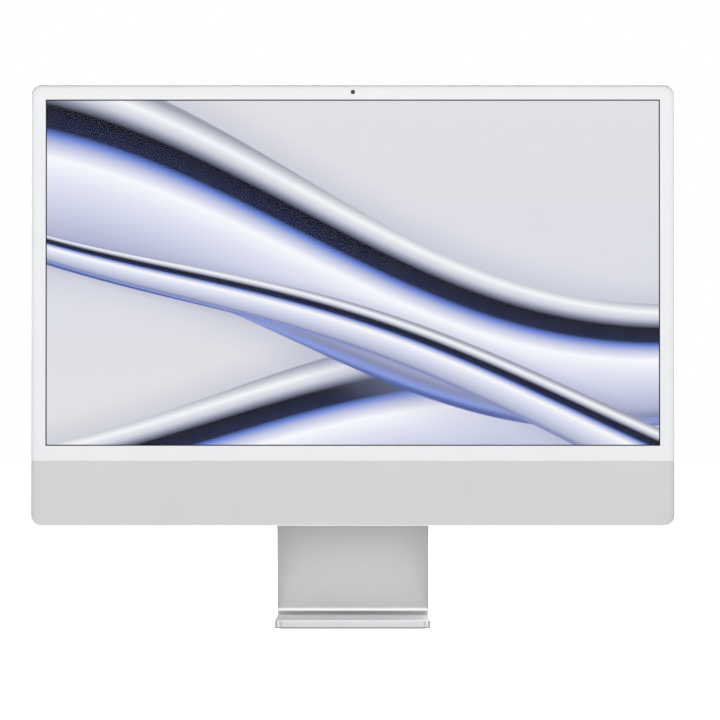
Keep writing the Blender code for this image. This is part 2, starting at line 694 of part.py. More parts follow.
def heat_pipe_outline(steps=20):
    """Front view of the pipe: low across both fin stacks, rising smoothly to the cold plate between them."""
    low = FIN_BOTTOM + FIN_HEIGHT / 2
    reach = FAN_X + FAN_SIZE / 2
    middle = []
    for i in range(steps + 1):
        x = -reach + 2 * reach * i / steps
        share = min(1, max(0, (BOARD_LENGTH / 2 - abs(x)) / (BOARD_LENGTH / 2 - CHIP_OFFSET)))
        middle.append(Vector((x, low + (PORT_Z - low) * share * share * (3 - 2 * share))))
    under, over = [], []
    for i, point in enumerate(middle):
        along = middle[min(i + 1, steps)] - middle[max(i - 1, 0)]
        across = Vector((-along.y, along.x)).normalized() * FIN_HEIGHT / 2
        under.append(tuple(point - across))
        over.append(tuple(point + across))
    return under + over[::-1]


def fin_stack(parent, side, word):
    """A comb of thin fins between the fan's outlet and the air grille, on a base against the heat pipe."""
    front = CHIN_FRONT + PIPE_THICK + FIT
    base = front + FIN_BASE
    start = side * FAN_X - FAN_SIZE / 2
    pitch = FAN_SIZE / (2 * FINS - 1)
    outline = [(start, front), (start + FAN_SIZE, front)]
    for i in reversed(range(FINS)):
        near = start + 2 * pitch * i
        outline += [(near + pitch, CHIN_BACK), (near, CHIN_BACK)]
        outline += [(near, base), (near - pitch, base)] if i else []
    piece(f"fin_stack_{word}", "copper", parent, prism(outline, FIN_BOTTOM, FIN_BOTTOM + FIN_HEIGHT, "Z"))


def fan_housing(parent, side, word):
    """A flat blower: open below, with a round inlet in its front cover and a post that carries the rotor."""
    x = side * FAN_X
    floor = CHIN_BACK - FAN_WALL
    roof = CHIN_FRONT + FAN_WALL
    chamber_radius = FAN_SIZE / 2 - 2 * FAN_WALL
    case = prism(rectangle(around(x, FAN_Z, FAN_SIZE, FAN_SIZE), FAN_CORNER, 3), CHIN_FRONT, CHIN_BACK)
    chamber = prism(circle((x, FAN_Z), chamber_radius, FINE_RING), roof, floor)
    outlet = prism(rectangle((x, FAN_BOTTOM - FIT, x + chamber_radius, FAN_Z)), roof, floor)
    inlet = prism(circle((x, FAN_Z), FAN_INLET), CHIN_FRONT - FIT, roof + FIT)
    post = prism(circle((x, FAN_Z), POST_RADIUS, COARSE_RING), roof + 2 * FAN_WALL, floor + FAN_WALL / 2)
    name = f"fan_housing_{word}"
    piece(name, "black_plastic", parent, case, cut(chamber), cut(outlet), cut(inlet), join(post))


def fan_impeller(parent, word):
    """Hub and swept blades drawn as one outline, with a bore for the post."""
    centre = parent.matrix_world.translation
    blade = math.tau / BLADES
    half = blade * BLADE_SHARE / 2
    middle_radius = (HUB_RADIUS + ROTOR_RADIUS) / 2
    corners = (
        (HUB_RADIUS, -blade / 2),
        (HUB_RADIUS, -half),
        (middle_radius, BLADE_SWEEP / 3 - half),
        (ROTOR_RADIUS, BLADE_SWEEP - half / 2),
        (ROTOR_RADIUS, BLADE_SWEEP + half / 2),
        (middle_radius, BLADE_SWEEP / 3 + half / 2),
        (HUB_RADIUS, half),
    )
    outline = []
    for i in range(BLADES):
        for radius, turn in corners:
            angle = blade * i + turn
            outline.append((centre.x + radius * math.cos(angle), centre.z + radius * math.sin(angle)))
    front = CHIN_FRONT + 2 * FAN_WALL
    back = CHIN_BACK - FAN_WALL - RUN
    post = circle((centre.x, centre.z), POST_RADIUS + FIT, COARSE_RING)
    bore = prism(post, front + FAN_WALL / 2, back + FIT)
    piece(f"fan_impeller_{word}", "black_plastic", parent, prism(outline, front, back), cut(bore))


def speaker(parent, side, word):
    """A slim speaker bar over its grille, with two driver mouths in its underside."""
    inner, outer = speaker_span()
    start, end = sorted((side * inner, side * outer))
    low = CHIN_FLOOR + FIT
    outline = rectangle((start, CHIN_FRONT, end, CHIN_BACK), SPEAKER_CORNER, 3)
    mouths = bmesh.new()
    for share in SPEAKER_MOUTHS:
        place = (start + (end - start) * share, CHIN_MIDDLE)
        prism(circle(place, GRILLE_WIDTH / 2, COARSE_RING), low - FIT, low + MOUTH_DEPTH, "Z", mouths)
    bar = prism(outline, low, low + SPEAKER_HEIGHT, "Z")
    piece(f"speaker_{word}", "black_plastic", parent, bar, cut(mouths))


def woofer(parent, side, word):
    """A flat woofer box behind the screen, with its shallow cone let into the front."""
    wide, high = WOOFER_SIZE
    x = side * (RIGHT - WOOFER_EDGE - wide / 2)
    z = WINDOW_RECT[1] + high / 2
    front, back = TRAY_BACK + FIT, INNER_BACK - FIT
    box = prism(rectangle(around(x, z, wide, high), WOOFER_CORNER, 4), front, back)
    cone = [
        (0, front - FIT),
        (CONE_RADIUS, front - FIT),
        (CONE_RADIUS, front + FIT),
        (CONE_RADIUS / 2, front + CONE_DEPTH),
        (0, front + CONE_DEPTH),
    ]
    piece(f"woofer_{word}", "black_plastic", parent, box, cut(turned(cone, (x, z))))


def timing_board_and_cable(parent):
    """The panel's own board, and the flat cable from it down to the logic board."""
    wide, high = TIMING_BOARD_SIZE
    front = TRAY_BACK + FIT
    low = WINDOW_RECT[1] + PART_GAP
    board = rectangle((-wide / 2, low, wide / 2, low + high))
    piece("timing_board", "circuit", parent, prism(board, front, front + STRIP_THICK))

    upper = (front + STRIP_THICK + FIT, low + high / 3)
    lower = (BOARD_BACK + FIT, BOTTOM + CHIN_HEIGHT - 2 * PART_GAP)
    line = []
    for i in range(9):
        share = i / 8
        ease = share * share * (3 - 2 * share)
        line.append((lower[0] + (upper[0] - lower[0]) * ease, lower[1] + (upper[1] - lower[1]) * share))
    ribbon = line + [(y + FIT, z) for y, z in reversed(line)]
    start = -CABLE_OFFSET - CABLE_WIDTH / 2
    piece("display_cable", "copper", parent, prism(ribbon, start, start + CABLE_WIDTH, "X"))


def power_inlet(parent):
    """Round recess for the magnetic plug, flanged behind the wall, with the contact block on its floor."""
    outer = INLET_RADIUS + INLET_WALL
    floor = BACK - INLET_DEPTH
    mouth = BACK - GLASS_SINK
    flange_back = INNER_BACK - FIT
    profile = [
        (0, floor - INLET_WALL),
        (outer, floor - INLET_WALL),
        (outer, flange_back - INLET_WALL),
        (outer + INLET_FLANGE, flange_back - INLET_WALL),
        (outer + INLET_FLANGE, flange_back),
        (outer, flange_back),
        (outer, mouth),
        (INLET_RADIUS, mouth),
        (INLET_RADIUS, floor),
        (0, floor),
    ]
    piece("power_inlet_cup", "steel", parent, turned(profile, (0, PORT_Z), steps=FINE_RING))
    wide, high, thick = CONTACT_SIZE
    block = prism(rectangle(around(0, PORT_Z, wide, high), high / 3, 3), floor + FIT, floor + FIT + thick)
    piece("power_inlet_contacts", "black_plastic", parent, block)


def ports(parent):
    """Upright connectors through the back wall, on a board of their own."""
    wide, high = PORT_SIZE
    mouth = BACK - GLASS_SINK
    closed = mouth - PORT_DEPTH
    floor = closed + 2 * PORT_WALL
    thick, tall, long = TONGUE_SIZE
    for number in range(PORTS):
        centre = (port_x(number), PORT_Z)
        shell = prism(obround(centre, wide, high), closed, mouth)
        hollow = prism(obround(centre, wide - 2 * PORT_WALL, high - 2 * PORT_WALL), floor, mouth + FIT)
        tongue = prism(rectangle(around(*centre, thick, tall)), closed + PORT_WALL, floor + long)
        piece(f"data_port_{number + 1}", "steel", parent, shell, cut(hollow), join(tongue))
    across, up = wide / 2 + PORT_MARGIN, high / 2 + PORT_MARGIN
    outline = rectangle((port_x(PORTS - 1) - across, PORT_Z - up, port_x(0) + across, PORT_Z + up))
    piece("port_board", "circuit", parent, prism(outline, closed - FIT - STRIP_THICK, closed - FIT))


def headphone_jack(parent):
    """A round socket through the left edge, on a square body."""
    long, thick = JACK_BODY
    start = LEFT + GLASS_SINK
    centre = (CHIN_MIDDLE, PORT_Z)
    barrel = prism(circle(centre, thick / 2), start, start + long, "X")
    block = prism(rectangle(around(*centre, thick, thick)), LEFT + SIDE_WALL + FIT, start + long, "X")
    bore = prism(circle(centre, JACK_BORE), start - FIT, start + long - JACK_BORE, "X")
    piece("headphone_jack", "black_plastic", parent, barrel, join(block), cut(bore))


def power_button(parent, head):
    """The round button with its retaining flange and stem, and the switch that it presses."""
    centre = (BUTTON_X, PORT_Z)
    stem_radius, stem_length = BUTTON_STEM
    flange_back = INNER_BACK - FIT
    flange_front = flange_back - BUTTON_FLANGE
    tip = flange_front - stem_length
    chamfer = FIT / 2
    profile = [
        (0, tip),
        (stem_radius, tip),
        (stem_radius, flange_front),
        (BUTTON_RADIUS + BUTTON_FLANGE, flange_front),
        (BUTTON_RADIUS + BUTTON_FLANGE, flange_back),
        (BUTTON_RADIUS, flange_back),
        (BUTTON_RADIUS, BACK - chamfer),
        (BUTTON_RADIUS - chamfer, BACK),
        (0, BACK),
    ]
    piece("power_button", "aluminium", parent, turned(profile, centre))

    size, thick = SWITCH_SIZE
    wide, high, plate = SWITCH_BRACKET
    top = tip - BUTTON_TRAVEL - FIT / 3
    low = top - thick
    switch = prism(rectangle(around(*centre, size, size)), low, top)
    bracket = prism(rectangle(around(*centre, wide, high), BOARD_CORNER, 3), low - plate / 2, low + plate / 2)
    piece("power_switch", "black_plastic", head, switch, join(bracket))


def build():
    for old in list(bpy.data.objects):
        bpy.data.objects.remove(old)
    stand = body("stand", Vector())
    head = body("display_head", Vector((0, HINGE_Y, HINGE_Z)), stand)

    stand_leg(stand)
    foot_pad(stand)
    rear_housing(head)
    for name, start, end in grille_spans():
        bottom_grille(head, name, start, end)
    screen_stack(head)
    camera_and_strips(head)
    hinge_bracket(head)
    hinge_fixings(head)
    board_and_cooling(head)
    timing_board_and_cable(head)
    power_inlet(head)
    ports(head)
    headphone_jack(head)

    for side, word in ((-1, "left"), (1, "right")):
        hinge_insides(stand, side, word)
        fin_stack(head, side, word)
        fan_housing(head, side, word)
        speaker(head, side, word)
        woofer(head, side, word)
        rotor = body(f"fan_rotor_{word}", Vector((side * FAN_X, CHIN_MIDDLE, FAN_Z)), head)
        fan_impeller(rotor, word)

    slide = body("power_button_slide", Vector((BUTTON_X, BACK, PORT_Z)), head)
    power_button(slide, head)


build()
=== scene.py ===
import json
import math

import bmesh
import bpy
from mathutils import Matrix, Vector


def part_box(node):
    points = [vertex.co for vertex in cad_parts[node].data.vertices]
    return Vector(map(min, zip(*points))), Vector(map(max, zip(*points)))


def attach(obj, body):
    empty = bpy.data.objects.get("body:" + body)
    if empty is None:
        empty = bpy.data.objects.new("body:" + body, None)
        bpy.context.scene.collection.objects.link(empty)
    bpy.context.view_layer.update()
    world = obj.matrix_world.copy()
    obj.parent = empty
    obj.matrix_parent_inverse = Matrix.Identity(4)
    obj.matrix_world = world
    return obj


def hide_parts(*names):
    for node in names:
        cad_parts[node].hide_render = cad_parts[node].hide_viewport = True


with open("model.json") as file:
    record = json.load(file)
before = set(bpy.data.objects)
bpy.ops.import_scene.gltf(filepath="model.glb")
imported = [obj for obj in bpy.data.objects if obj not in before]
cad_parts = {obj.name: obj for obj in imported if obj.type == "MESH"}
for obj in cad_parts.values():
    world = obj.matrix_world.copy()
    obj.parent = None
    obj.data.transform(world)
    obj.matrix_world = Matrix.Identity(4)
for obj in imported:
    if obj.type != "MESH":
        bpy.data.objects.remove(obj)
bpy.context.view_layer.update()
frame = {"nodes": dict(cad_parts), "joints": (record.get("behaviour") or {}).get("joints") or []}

mm = 0.001
quarter = math.pi / 2
scene = bpy.context.scene
tilt = next(joint for joint in frame["joints"] if joint["name"] == "display_tilt")
hinge = Vector(tilt["pos_m"])
hingePoint = (hinge.y, hinge.z)


def inMetres(sizes):
    return {name: value * mm for name, value in sizes.items()}


# Outlines: lists of (u, v), anticlockwise
def arcPoints(centre, radius, start, end, steps):
    angles = [start + (end - start) * i / steps for i in range(steps + 1)]
    return [(centre[0] + radius * math.cos(a), centre[1] + radius * math.sin(a)) for a in angles]


def circlePoints(centre, radius, steps=64):
    return arcPoints(centre, radius, 0, math.tau, steps)[:-1]


def roundedRect(rect, corner, steps=16, support=0.0):
    # corner is one radius, or four from the upper right round to the lower right
    u0, v0, u1, v1 = rect
    radii = corner if isinstance(corner, (list, tuple)) else [corner] * 4
    signs = [(1, 1), (-1, 1), (-1, -1), (1, -1)]
    points = []
    for i, ((su, sv), r) in enumerate(zip(signs, radii)):
        centre = ((u1 if su > 0 else u0) - su * r, (v1 if sv > 0 else v0) - sv * r)
        start, end = quarter * i, quarter * (i + 1)
        run = arcPoints(centre, r, start, end, steps)
        if support:  # a point beside each corner keeps the flat side's shading flat
            before = (run[0][0] + support * math.sin(start), run[0][1] - support * math.cos(start))
            after = (run[-1][0] - support * math.sin(end), run[-1][1] + support * math.cos(end))
            run = [before, *run, after]
        points += run
    return points


def obround(centre, width, height, steps=16):
    u, v = centre
    rise = (height - width) / 2
    upper = arcPoints((u, v + rise), width / 2, 0, math.pi, steps)
    return upper + arcPoints((u, v - rise), width / 2, math.pi, math.tau, steps)


def grow(rect, by):
    return (rect[0] - by, rect[1] - by, rect[2] + by, rect[3] + by)


def around(u, v, width, height):
    return (u - width / 2, v - height / 2, u + width / 2, v + height / 2)


def softened(points, radius, steps=4):
    # an open line of (u, v) with its inner corners rounded
    line = [points[0]]
    for before, corner, after in zip(points, points[1:], points[2:]):
        a, c, b = Vector(before), Vector(corner), Vector(after)
        reach = min(radius, (a - c).length * 0.45, (b - c).length * 0.45)
        start, end = c + (a - c).normalized() * reach, c + (b - c).normalized() * reach
        for i in range(steps + 1):
            t = i / steps
            line.append(tuple(start * (1 - t) ** 2 + c * 2 * t * (1 - t) + end * t * t))
    return line + [points[-1]]


# Solids
def at(axis, outline, along):
    places = {
        "x": lambda u, v: (along, u, v),
        "y": lambda u, v: (u, along, v),
        "z": lambda u, v: (u, v, along),
    }
    return [places[axis](u, v) for u, v in outline]


def loft(rings, mesh=None):
    # rings of equal length joined in turn, with the first and last filled
    mesh = mesh or bmesh.new()
    loops = [[mesh.verts.new(p) for p in ring] for ring in rings]
    count = len(loops[0])
    for near, far in zip(loops, loops[1:]):
        for i in range(count):
            j = (i + 1) % count
            mesh.faces.new((near[i], near[j], far[j], far[i]))
    mesh.faces.new(loops[0])
    mesh.faces.new(loops[-1])
    return mesh


def prism(outline, low, high, axis="y", mesh=None):
    return loft([at(axis, outline, low), at(axis, outline, high)], mesh)


def edgeRun(low, high, edge, support, steps=4):
    # (inset, along) from one face over its rounded edge to the other face
    turns = [quarter * i / steps for i in range(steps + 1)]
    near = [(edge * (1 - math.sin(t)), low + edge * (1 - math.cos(t))) for t in turns]
    far = [(inset, low + high - along) for inset, along in reversed(near)]
    return [(edge + support, low), *near, *far, (edge + support, high)]


def slab(rect, corner, low, high, edge, axis="y", steps=12):
    # a flat plate with rounded corners and rounded edges
    radii = corner if isinstance(corner, (list, tuple)) else [corner] * 4
    rings = []
    for inset, along in edgeRun(low, high, edge, 0.5 * edge):
        shape = roundedRect(grow(rect, -inset), [max(r - inset, 0.02 * mm) for r in radii], steps, edge)
        rings.append(at(axis, shape, along))
    return loft(rings)


def lathe(profile, centre, axis="y", steps=64):
    # (radius, along) turned about an axis; it starts and ends on the axis, or closes on itself
    mesh = bmesh.new()
    rings = []
    for radius, along in profile:
        points = at(axis, circlePoints(centre, radius, steps) if radius > 0 else [centre], along)
        rings.append([mesh.verts.new(p) for p in points])
    pairs = list(zip(rings, rings[1:]))
    if profile[0][0] > 0:
        pairs.append((rings[-1], rings[0]))
    for near, far in pairs:
        for i in range(steps):
            j = (i + 1) % steps
            corners = [near[i % len(near)], near[j % len(near)], far[j % len(far)], far[i % len(far)]]
            mesh.faces.new(list(dict.fromkeys(corners)))
    return mesh


# Pieces
def madeOf(name, mesh, materials=()):
    data = bpy.data.meshes.new(name)
    mesh.to_mesh(data)
    mesh.free()
    piece = bpy.data.objects.new(name, data)
    scene.collection.objects.link(piece)
    for material in materials:
        data.materials.append(material)
    return piece


def solid(name, mesh, *materials):
    bmesh.ops.recalc_face_normals(mesh, faces=mesh.faces)
    return madeOf(name, mesh, materials)


def flatten(piece):
    # the modifiers' result becomes the piece's own mesh
    evaluated = piece.evaluated_get(bpy.context.evaluated_depsgraph_get())
    data = bpy.data.meshes.new_from_object(evaluated)
    piece.modifiers.clear()
    piece.data = data
    return piece


def carve(piece, shape, operation="DIFFERENCE"):
    helper = solid(piece.name + "_shape", shape)
    modifier = piece.modifiers.new("carve", "BOOLEAN")
    modifier.operation = operation
    modifier.solver = "EXACT"
    modifier.object = helper
    flatten(piece)
    bpy.data.objects.remove(helper)
    return piece


def merged(name, parts):
    # several solids as one piece, each with its own material
    mesh = bmesh.new()
    finishes = []
    for part in parts:
        known = len(mesh.faces)
        mesh.from_mesh(part.data)
        mesh.faces.ensure_lookup_table()
        shift = len(finishes)
        for face in mesh.faces[known:]:
            face.material_index += shift
        finishes += list(part.data.materials)
        bpy.data.objects.remove(part)
    return madeOf(name, mesh, finishes)


def fit(piece, body, slot, *replaced, angle=32):
    # shades a finished piece, its flat faces truly flat, and hangs it on its body
    piece.data.shade_smooth()
    piece.data.set_sharp_from_angle(angle=math.radians(angle))
    modifier = piece.modifiers.new("flat faces", "WEIGHTED_NORMAL")
    modifier.mode = "FACE_AREA"
    modifier.weight = 100
    modifier.keep_sharp = True
    flatten(piece)
    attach(piece, body)
    if replaced:
        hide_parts(*replaced)
    return piece


# Node trees, for shaders and for geometry
class Value:
    # an output socket; arithmetic on it adds Math nodes
    def __init__(self, tree, socket):
        self.tree = tree
        self.socket = socket

    def math(self, operation, *others):
        return self.tree.node("ShaderNodeMath", {"operation": operation}, dict(enumerate((self, *others))))

    def __add__(self, other):
        return self.math("ADD", other)

    __radd__ = __add__

    def __sub__(self, other):
        return self.math("SUBTRACT", other)

    def __rsub__(self, other):
        return self.tree.node("ShaderNodeMath", {"operation": "SUBTRACT"}, {0: other, 1: self})

    def __mul__(self, other):
        return self.math("MULTIPLY", other)

    __rmul__ = __mul__

    def __truediv__(self, other):
        return self.math("DIVIDE", other)

    def __pow__(self, other):
        return self.math("POWER", other)

    def __abs__(self):
        return self.math("ABSOLUTE")

    def sine(self):
        return self.math("SINE")

    def ease(self, low, high):
        # 0 at low, 1 at high, smooth between
        settings = {"interpolation_type": "SMOOTHSTEP"}
        return self.tree.node("ShaderNodeMapRange", settings, {0: self, 1: low, 2: high})


class Tree:
    def __init__(self, tree):
        self.tree = tree

    def node(self, kind, settings=None, values=None, out=0):
        made = self.tree.nodes.new(kind)
        for name, value in (settings or {}).items():
            if name == "stops":
                ramp = made.color_ramp
                while len(ramp.elements) < len(value):
                    ramp.elements.new(1.0)
                for element, (place, colour) in zip(ramp.elements, value):
                    element.position = place
                    element.color = (*colour, 1)
            else:
                setattr(made, name, value)
        for key, value in (values or {}).items():
            socket = made.inputs[key]
            for one in value if isinstance(value, list) else [value]:
                if isinstance(one, Value):
                    self.tree.links.new(one.socket, socket)
                else:
                    socket.default_value = one
        return Value(self, made.outputs[out]) if made.outputs else made


class Growth(Tree):
    # a geometry tree
    def joined(self, parts):
        return self.node("GeometryNodeJoinGeometry", values={0: parts})

    def moved(self, geometry, by):
        return self.node("GeometryNodeTransform", values={"Geometry": geometry, "Translation": by})

    def row(self, count, start, step):
        values = {"Count": count, "Start Location": start, "Offset": step}
        return self.node("GeometryNodeMeshLine", {"mode": "OFFSET"}, values)

    def copies(self, points, instance):
        return self.node("GeometryNodeInstanceOnPoints", values={"Points": points, "Instance": instance})

    def real(self, geometry):
        return self.node("GeometryNodeRealizeInstances", values={0: geometry})


class Finish(Tree):
    # one material, with its pattern on object coordinates
    def __init__(self, name):
        self.material = bpy.data.materials.new(name)
        self.material.use_nodes = True
        self.material.node_tree.nodes.clear()
        super().__init__(self.material.node_tree)
        self.place = self.node("ShaderNodeTexCoord", out=3)

    def axes(self):
        split = self.node("ShaderNodeSeparateXYZ", values={0: self.place})
        sockets = split.socket.node.outputs
        return [Value(self, socket) for socket in sockets]

    def stretched(self, x, y, z):
        return self.node("ShaderNodeMapping", values={"Vector": self.place, "Scale": (x, y, z)})

    def noise(self, scale, detail, place=None):
        values = {"Vector": place or self.place, "Scale": scale, "Detail": detail, "Roughness": 0.55}
        return self.node("ShaderNodeTexNoise", values=values)

    def blend(self, factor, first, second):
        first = (*first, 1) if isinstance(first, tuple) else first
        second = (*second, 1) if isinstance(second, tuple) else second
        values = {0: factor, 6: first, 7: second}
        return self.node("ShaderNodeMix", {"data_type": "RGBA"}, values, out=2)

    def bump(self, height, strength, distance):
        values = {"Height": height, "Strength": strength, "Distance": distance}
        return self.node("ShaderNodeBump", values=values)

    def shader(self, **values):
        named = {name.replace("_", " "): value for name, value in values.items()}
        return self.node("ShaderNodeBsdfPrincipled", values=named)

    def done(self, surface):
        self.node("ShaderNodeOutputMaterial", values={"Surface": surface})
        return self.material


# Materials
brightCut = {"tone": (0.93, 0.934, 0.942), "gloss": 0.1}  # freshly cut metal beside blasted metal


def metalFinish(name, dark, light, rough, grain=2400, depth=0.02, soil=9, stretch=(1, 1, 1), cutFront=None):
    # bead-blasted or plated metal: fine grain, faint clouding of tone and gloss
    # where cutFront is given, what lies in front of it is a bright cut face
    look = Finish(name)
    fine = look.noise(grain, 3, look.stretched(*stretch))
    cloud = look.noise(soil, 4)
    tone = look.blend(cloud.ease(0.3, 0.7), dark, light)
    gloss = rough + (fine - 0.5) * 0.1 + (cloud - 0.5) * 0.05
    if cutFront is not None:
        cut = (cutFront - look.axes()[1]).math("GREATER_THAN", 0)
        tone = look.blend(cut, tone, brightCut["tone"])
        gloss = gloss - cut * brightCut["gloss"]
    normal = look.bump(fine, 0.35, depth * mm)
    return look.done(look.shader(Base_Color=tone, Metallic=1.0, Roughness=gloss, Normal=normal))


def plasticFinish(name, dark, light, rough, grain=1600, depth=0.03, soil=20):
    look = Finish(name)
    fine = look.noise(grain, 4)
    cloud = look.noise(soil, 3)
    tone = look.blend(cloud.ease(0.3, 0.7), dark, light)
    gloss = rough + (fine - 0.5) * 0.16
    normal = look.bump(fine, 0.4, depth * mm)
    return look.done(look.shader(Base_Color=tone, Roughness=gloss, Normal=normal))


def inkFinish(name, tone, speck, rough):
    # print on the back of the glass: flat colour with the faintest mottle and pearl
    look = Finish(name)
    mottle = look.noise(38, 5)
    pearl = look.noise(5200, 1)
    shade = look.blend(mottle.ease(0.35, 0.65) * 0.5 + pearl.ease(0.6, 0.9) * 0.5, tone, speck)
    gloss = rough + (mottle - 0.5) * 0.08
    return look.done(look.shader(Base_Color=shade, Roughness=gloss))


glassLook = {"straight": 0.004, "grazing": 0.5, "gloss": 0.02, "wipeMarks": 0.035}


def glassFinish():
    # clear, with a coated sheet's faint reflection that grows towards grazing angles
    look = Finish("front_glass")
    facing = look.node("ShaderNodeLayerWeight", values={"Blend": 0.5}, out=1)
    share = glassLook["straight"] + glassLook["grazing"] * facing ** 5
    wipe = look.noise(16, 5)
    gloss = glassLook["gloss"] + wipe.ease(0.45, 0.8) * glassLook["wipeMarks"]
    sheen = look.shader(Base_Color=(1, 1, 1, 1), Metallic=1.0, Roughness=gloss)
    clear = look.node("ShaderNodeBsdfTransparent")
    return look.done(look.node("ShaderNodeMixShader", values={0: share, 1: clear, 2: sheen}))


pictureSizes = {
    "ribbons": [  # height, slope, wave height, wave rate, wave start, half thickness, growth, shift of tone
        (-1.02, 0.16, 0.20, 2.1, 0.9, 0.42, 0.10, 0.00),
        (0.02, -0.34, 0.30, 2.0, 3.5, 0.47, -0.25, 0.00),
        (-0.40, -0.62, 0.10, 2.4, 1.3, 0.13, 0.35, 0.05),
    ],
    "shadow": 0.34, "shadowTone": (0.30, 0.32, 0.50), "driftRate": 2.6, "drift": 0.03,
    "paper": [(0.0, (0.752, 0.752, 0.768)), (0.5, (0.708, 0.715, 0.785)), (1.0, (0.742, 0.744, 0.765))],
    "tube": [  # across a ribbon from its lower edge to its upper edge
        (0.0, (0.08, 0.12, 0.36)), (0.03, (0.24, 0.32, 0.74)), (0.08, (0.22, 0.25, 0.42)),
        (0.15, (0.42, 0.45, 0.63)), (0.28, (0.58, 0.61, 0.77)), (0.42, (0.74, 0.76, 0.88)),
        (0.53, (0.92, 0.93, 0.97)), (0.60, (0.52, 0.55, 0.75)), (0.65, (0.12, 0.21, 0.64)),
        (0.68, (0.010, 0.016, 0.060)), (0.79, (0.002, 0.003, 0.010)), (0.82, (0.20, 0.22, 0.31)),
        (0.86, (0.58, 0.60, 0.69)), (0.92, (0.90, 0.91, 0.94)), (1.0, (0.32, 0.34, 0.42)),
    ],
}


def pictureFinish(low, high, line):
    # the lit picture: soft overlapping ribbons on pale grey, with an unlit black border
    look = Finish("lit_picture")
    x, _, z = look.axes()
    middle = (low + high) / 2
    half = (high - low) / 2
    across = (x - middle.x) / half.x
    up = (z - middle.z) / half.z
    picture = look.node("ShaderNodeValToRGB", {"stops": pictureSizes["paper"]}, {0: up * 0.5 + 0.5})
    for height, slope, rise, rate, start, thick, growth, lean in pictureSizes["ribbons"]:
        wave = (across * rate + start).sine() * rise
        t = (up - height - across * slope - wave) / ((across * growth + 1) * thick)
        edge = abs(t)
        shadow = 1 - edge.ease(0.85, 1.5)
        picture = look.blend(shadow * pictureSizes["shadow"], picture, pictureSizes["shadowTone"])
        drift = (across * pictureSizes["driftRate"] + start).sine() * pictureSizes["drift"] + across * lean
        tube = look.node("ShaderNodeValToRGB", {"stops": pictureSizes["tube"]}, {0: t * 0.5 + 0.5 + drift})
        picture = look.blend(1 - edge.ease(0.98, 1.0), picture, tube)
    inside = (1 - line / half.x - abs(across)).math("GREATER_THAN", 0)
    inside = inside * (1 - line / half.z - abs(up)).math("GREATER_THAN", 0)
    lit = look.blend(inside, (0.0, 0.0, 0.0), picture)
    dark = look.noise(60, 3)
    tone = look.blend(dark.ease(0.3, 0.7), (0.002, 0.002, 0.003), (0.006, 0.006, 0.007))
    return look.done(look.shader(Base_Color=tone, Roughness=0.5, Specular_IOR_Level=0.0,
                                 Emission_Color=lit, Emission_Strength=1.0))


def circuitFinish():
    # dark solder mask with tracks and tinned pads
    look = Finish("circuit_board")
    turned = look.node("ShaderNodeMapping", values={"Vector": look.place, "Rotation": (quarter, 0, 0)})
    bricks = {"Vector": turned, "Scale": 160.0, "Mortar Size": 0.03, "Bias": 0.0}
    tracks = look.node("ShaderNodeTexBrick", {"offset": 0.35}, bricks, out=1)
    pads = look.node("ShaderNodeTexVoronoi", {"feature": "F1"}, {"Vector": look.place, "Scale": 420.0})
    tinned = 1 - pads.ease(0.16, 0.2)
    mask = look.blend(look.noise(40, 3).ease(0.3, 0.7), (0.008, 0.022, 0.016), (0.014, 0.034, 0.022))
    tone = look.blend(tracks * 0.55, mask, (0.03, 0.09, 0.05))
    tone = look.blend(tinned, tone, (0.62, 0.60, 0.55))
    return look.done(look.shader(Base_Color=tone, Metallic=tinned * 0.9, Roughness=0.45 - tinned * 0.15))


def lensFinish():
    look = Finish("coated_lens")
    x, _, z = look.axes()
    low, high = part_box("camera_lens")
    middle = (low + high) / 2
    away = (((x - middle.x) ** 2 + (z - middle.z) ** 2) ** 0.5) / (high.x - middle.x)
    # painted reflection: the coating's tinted reflections drawn into the base colour as rings about the lens's
    # middle
    paintedReflectionRings = [
        (0.0, (0.004, 0.004, 0.008)), (0.35, (0.02, 0.012, 0.04)),
        (0.6, (0.006, 0.014, 0.03)), (1.0, (0.003, 0.003, 0.004)),
    ]
    tone = look.node("ShaderNodeValToRGB", {"stops": paintedReflectionRings}, {0: away})
    return look.done(look.shader(Base_Color=tone, Roughness=0.04, Coat_Weight=1.0))


def guideFinish():
    # clear acrylic with its printed grid of dots
    look = Finish("light_guide")
    grid = {"Vector": look.place, "Scale": 700.0, "Randomness": 0.0}
    dots = look.node("ShaderNodeTexVoronoi", {"feature": "F1"}, grid).ease(0.2, 0.3)
    tone = look.blend(dots, (0.92, 0.93, 0.95), (0.74, 0.77, 0.80))
    return look.done(look.shader(Base_Color=tone, Roughness=0.12 + dots * 0.1))


silver = ((0.655, 0.66, 0.668), (0.685, 0.69, 0.698), 0.37)  # darker tone, lighter tone, roughness
aluminium = metalFinish("blasted_aluminium", *silver)
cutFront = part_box("rear_housing")[0].y + 0.3 * mm
housingMetal = metalFinish("housing_aluminium", *silver, cutFront=cutFront)
steel = metalFinish("plated_steel", (0.52, 0.52, 0.53), (0.6, 0.6, 0.605), 0.26, grain=900, stretch=(1, 9, 1))
copper = metalFinish("copper", (0.62, 0.31, 0.19), (0.78, 0.45, 0.3), 0.3, grain=700, stretch=(9, 1, 1))
gold = metalFinish("contact_gold", (0.78, 0.56, 0.24), (0.88, 0.68, 0.34), 0.24, grain=3000)
blackPlastic = plasticFinish("black_plastic", (0.013, 0.013, 0.015), (0.022, 0.022, 0.024), 0.42)
greyRubber = plasticFinish("pad_rubber", (0.55, 0.555, 0.56), (0.62, 0.625, 0.63), 0.8, 900, 0.06)
paleFoam = plasticFinish("gasket_foam", (0.42, 0.42, 0.43), (0.55, 0.55, 0.56), 0.92, 1300, 0.2, 900)
greyPaint = plasticFinish("symbol_paint", (0.16, 0.162, 0.168), (0.19, 0.192, 0.198), 0.5)
borderInk = inkFinish("border_ink", (0.830, 0.837, 0.853), (0.850, 0.857, 0.873), 0.5)
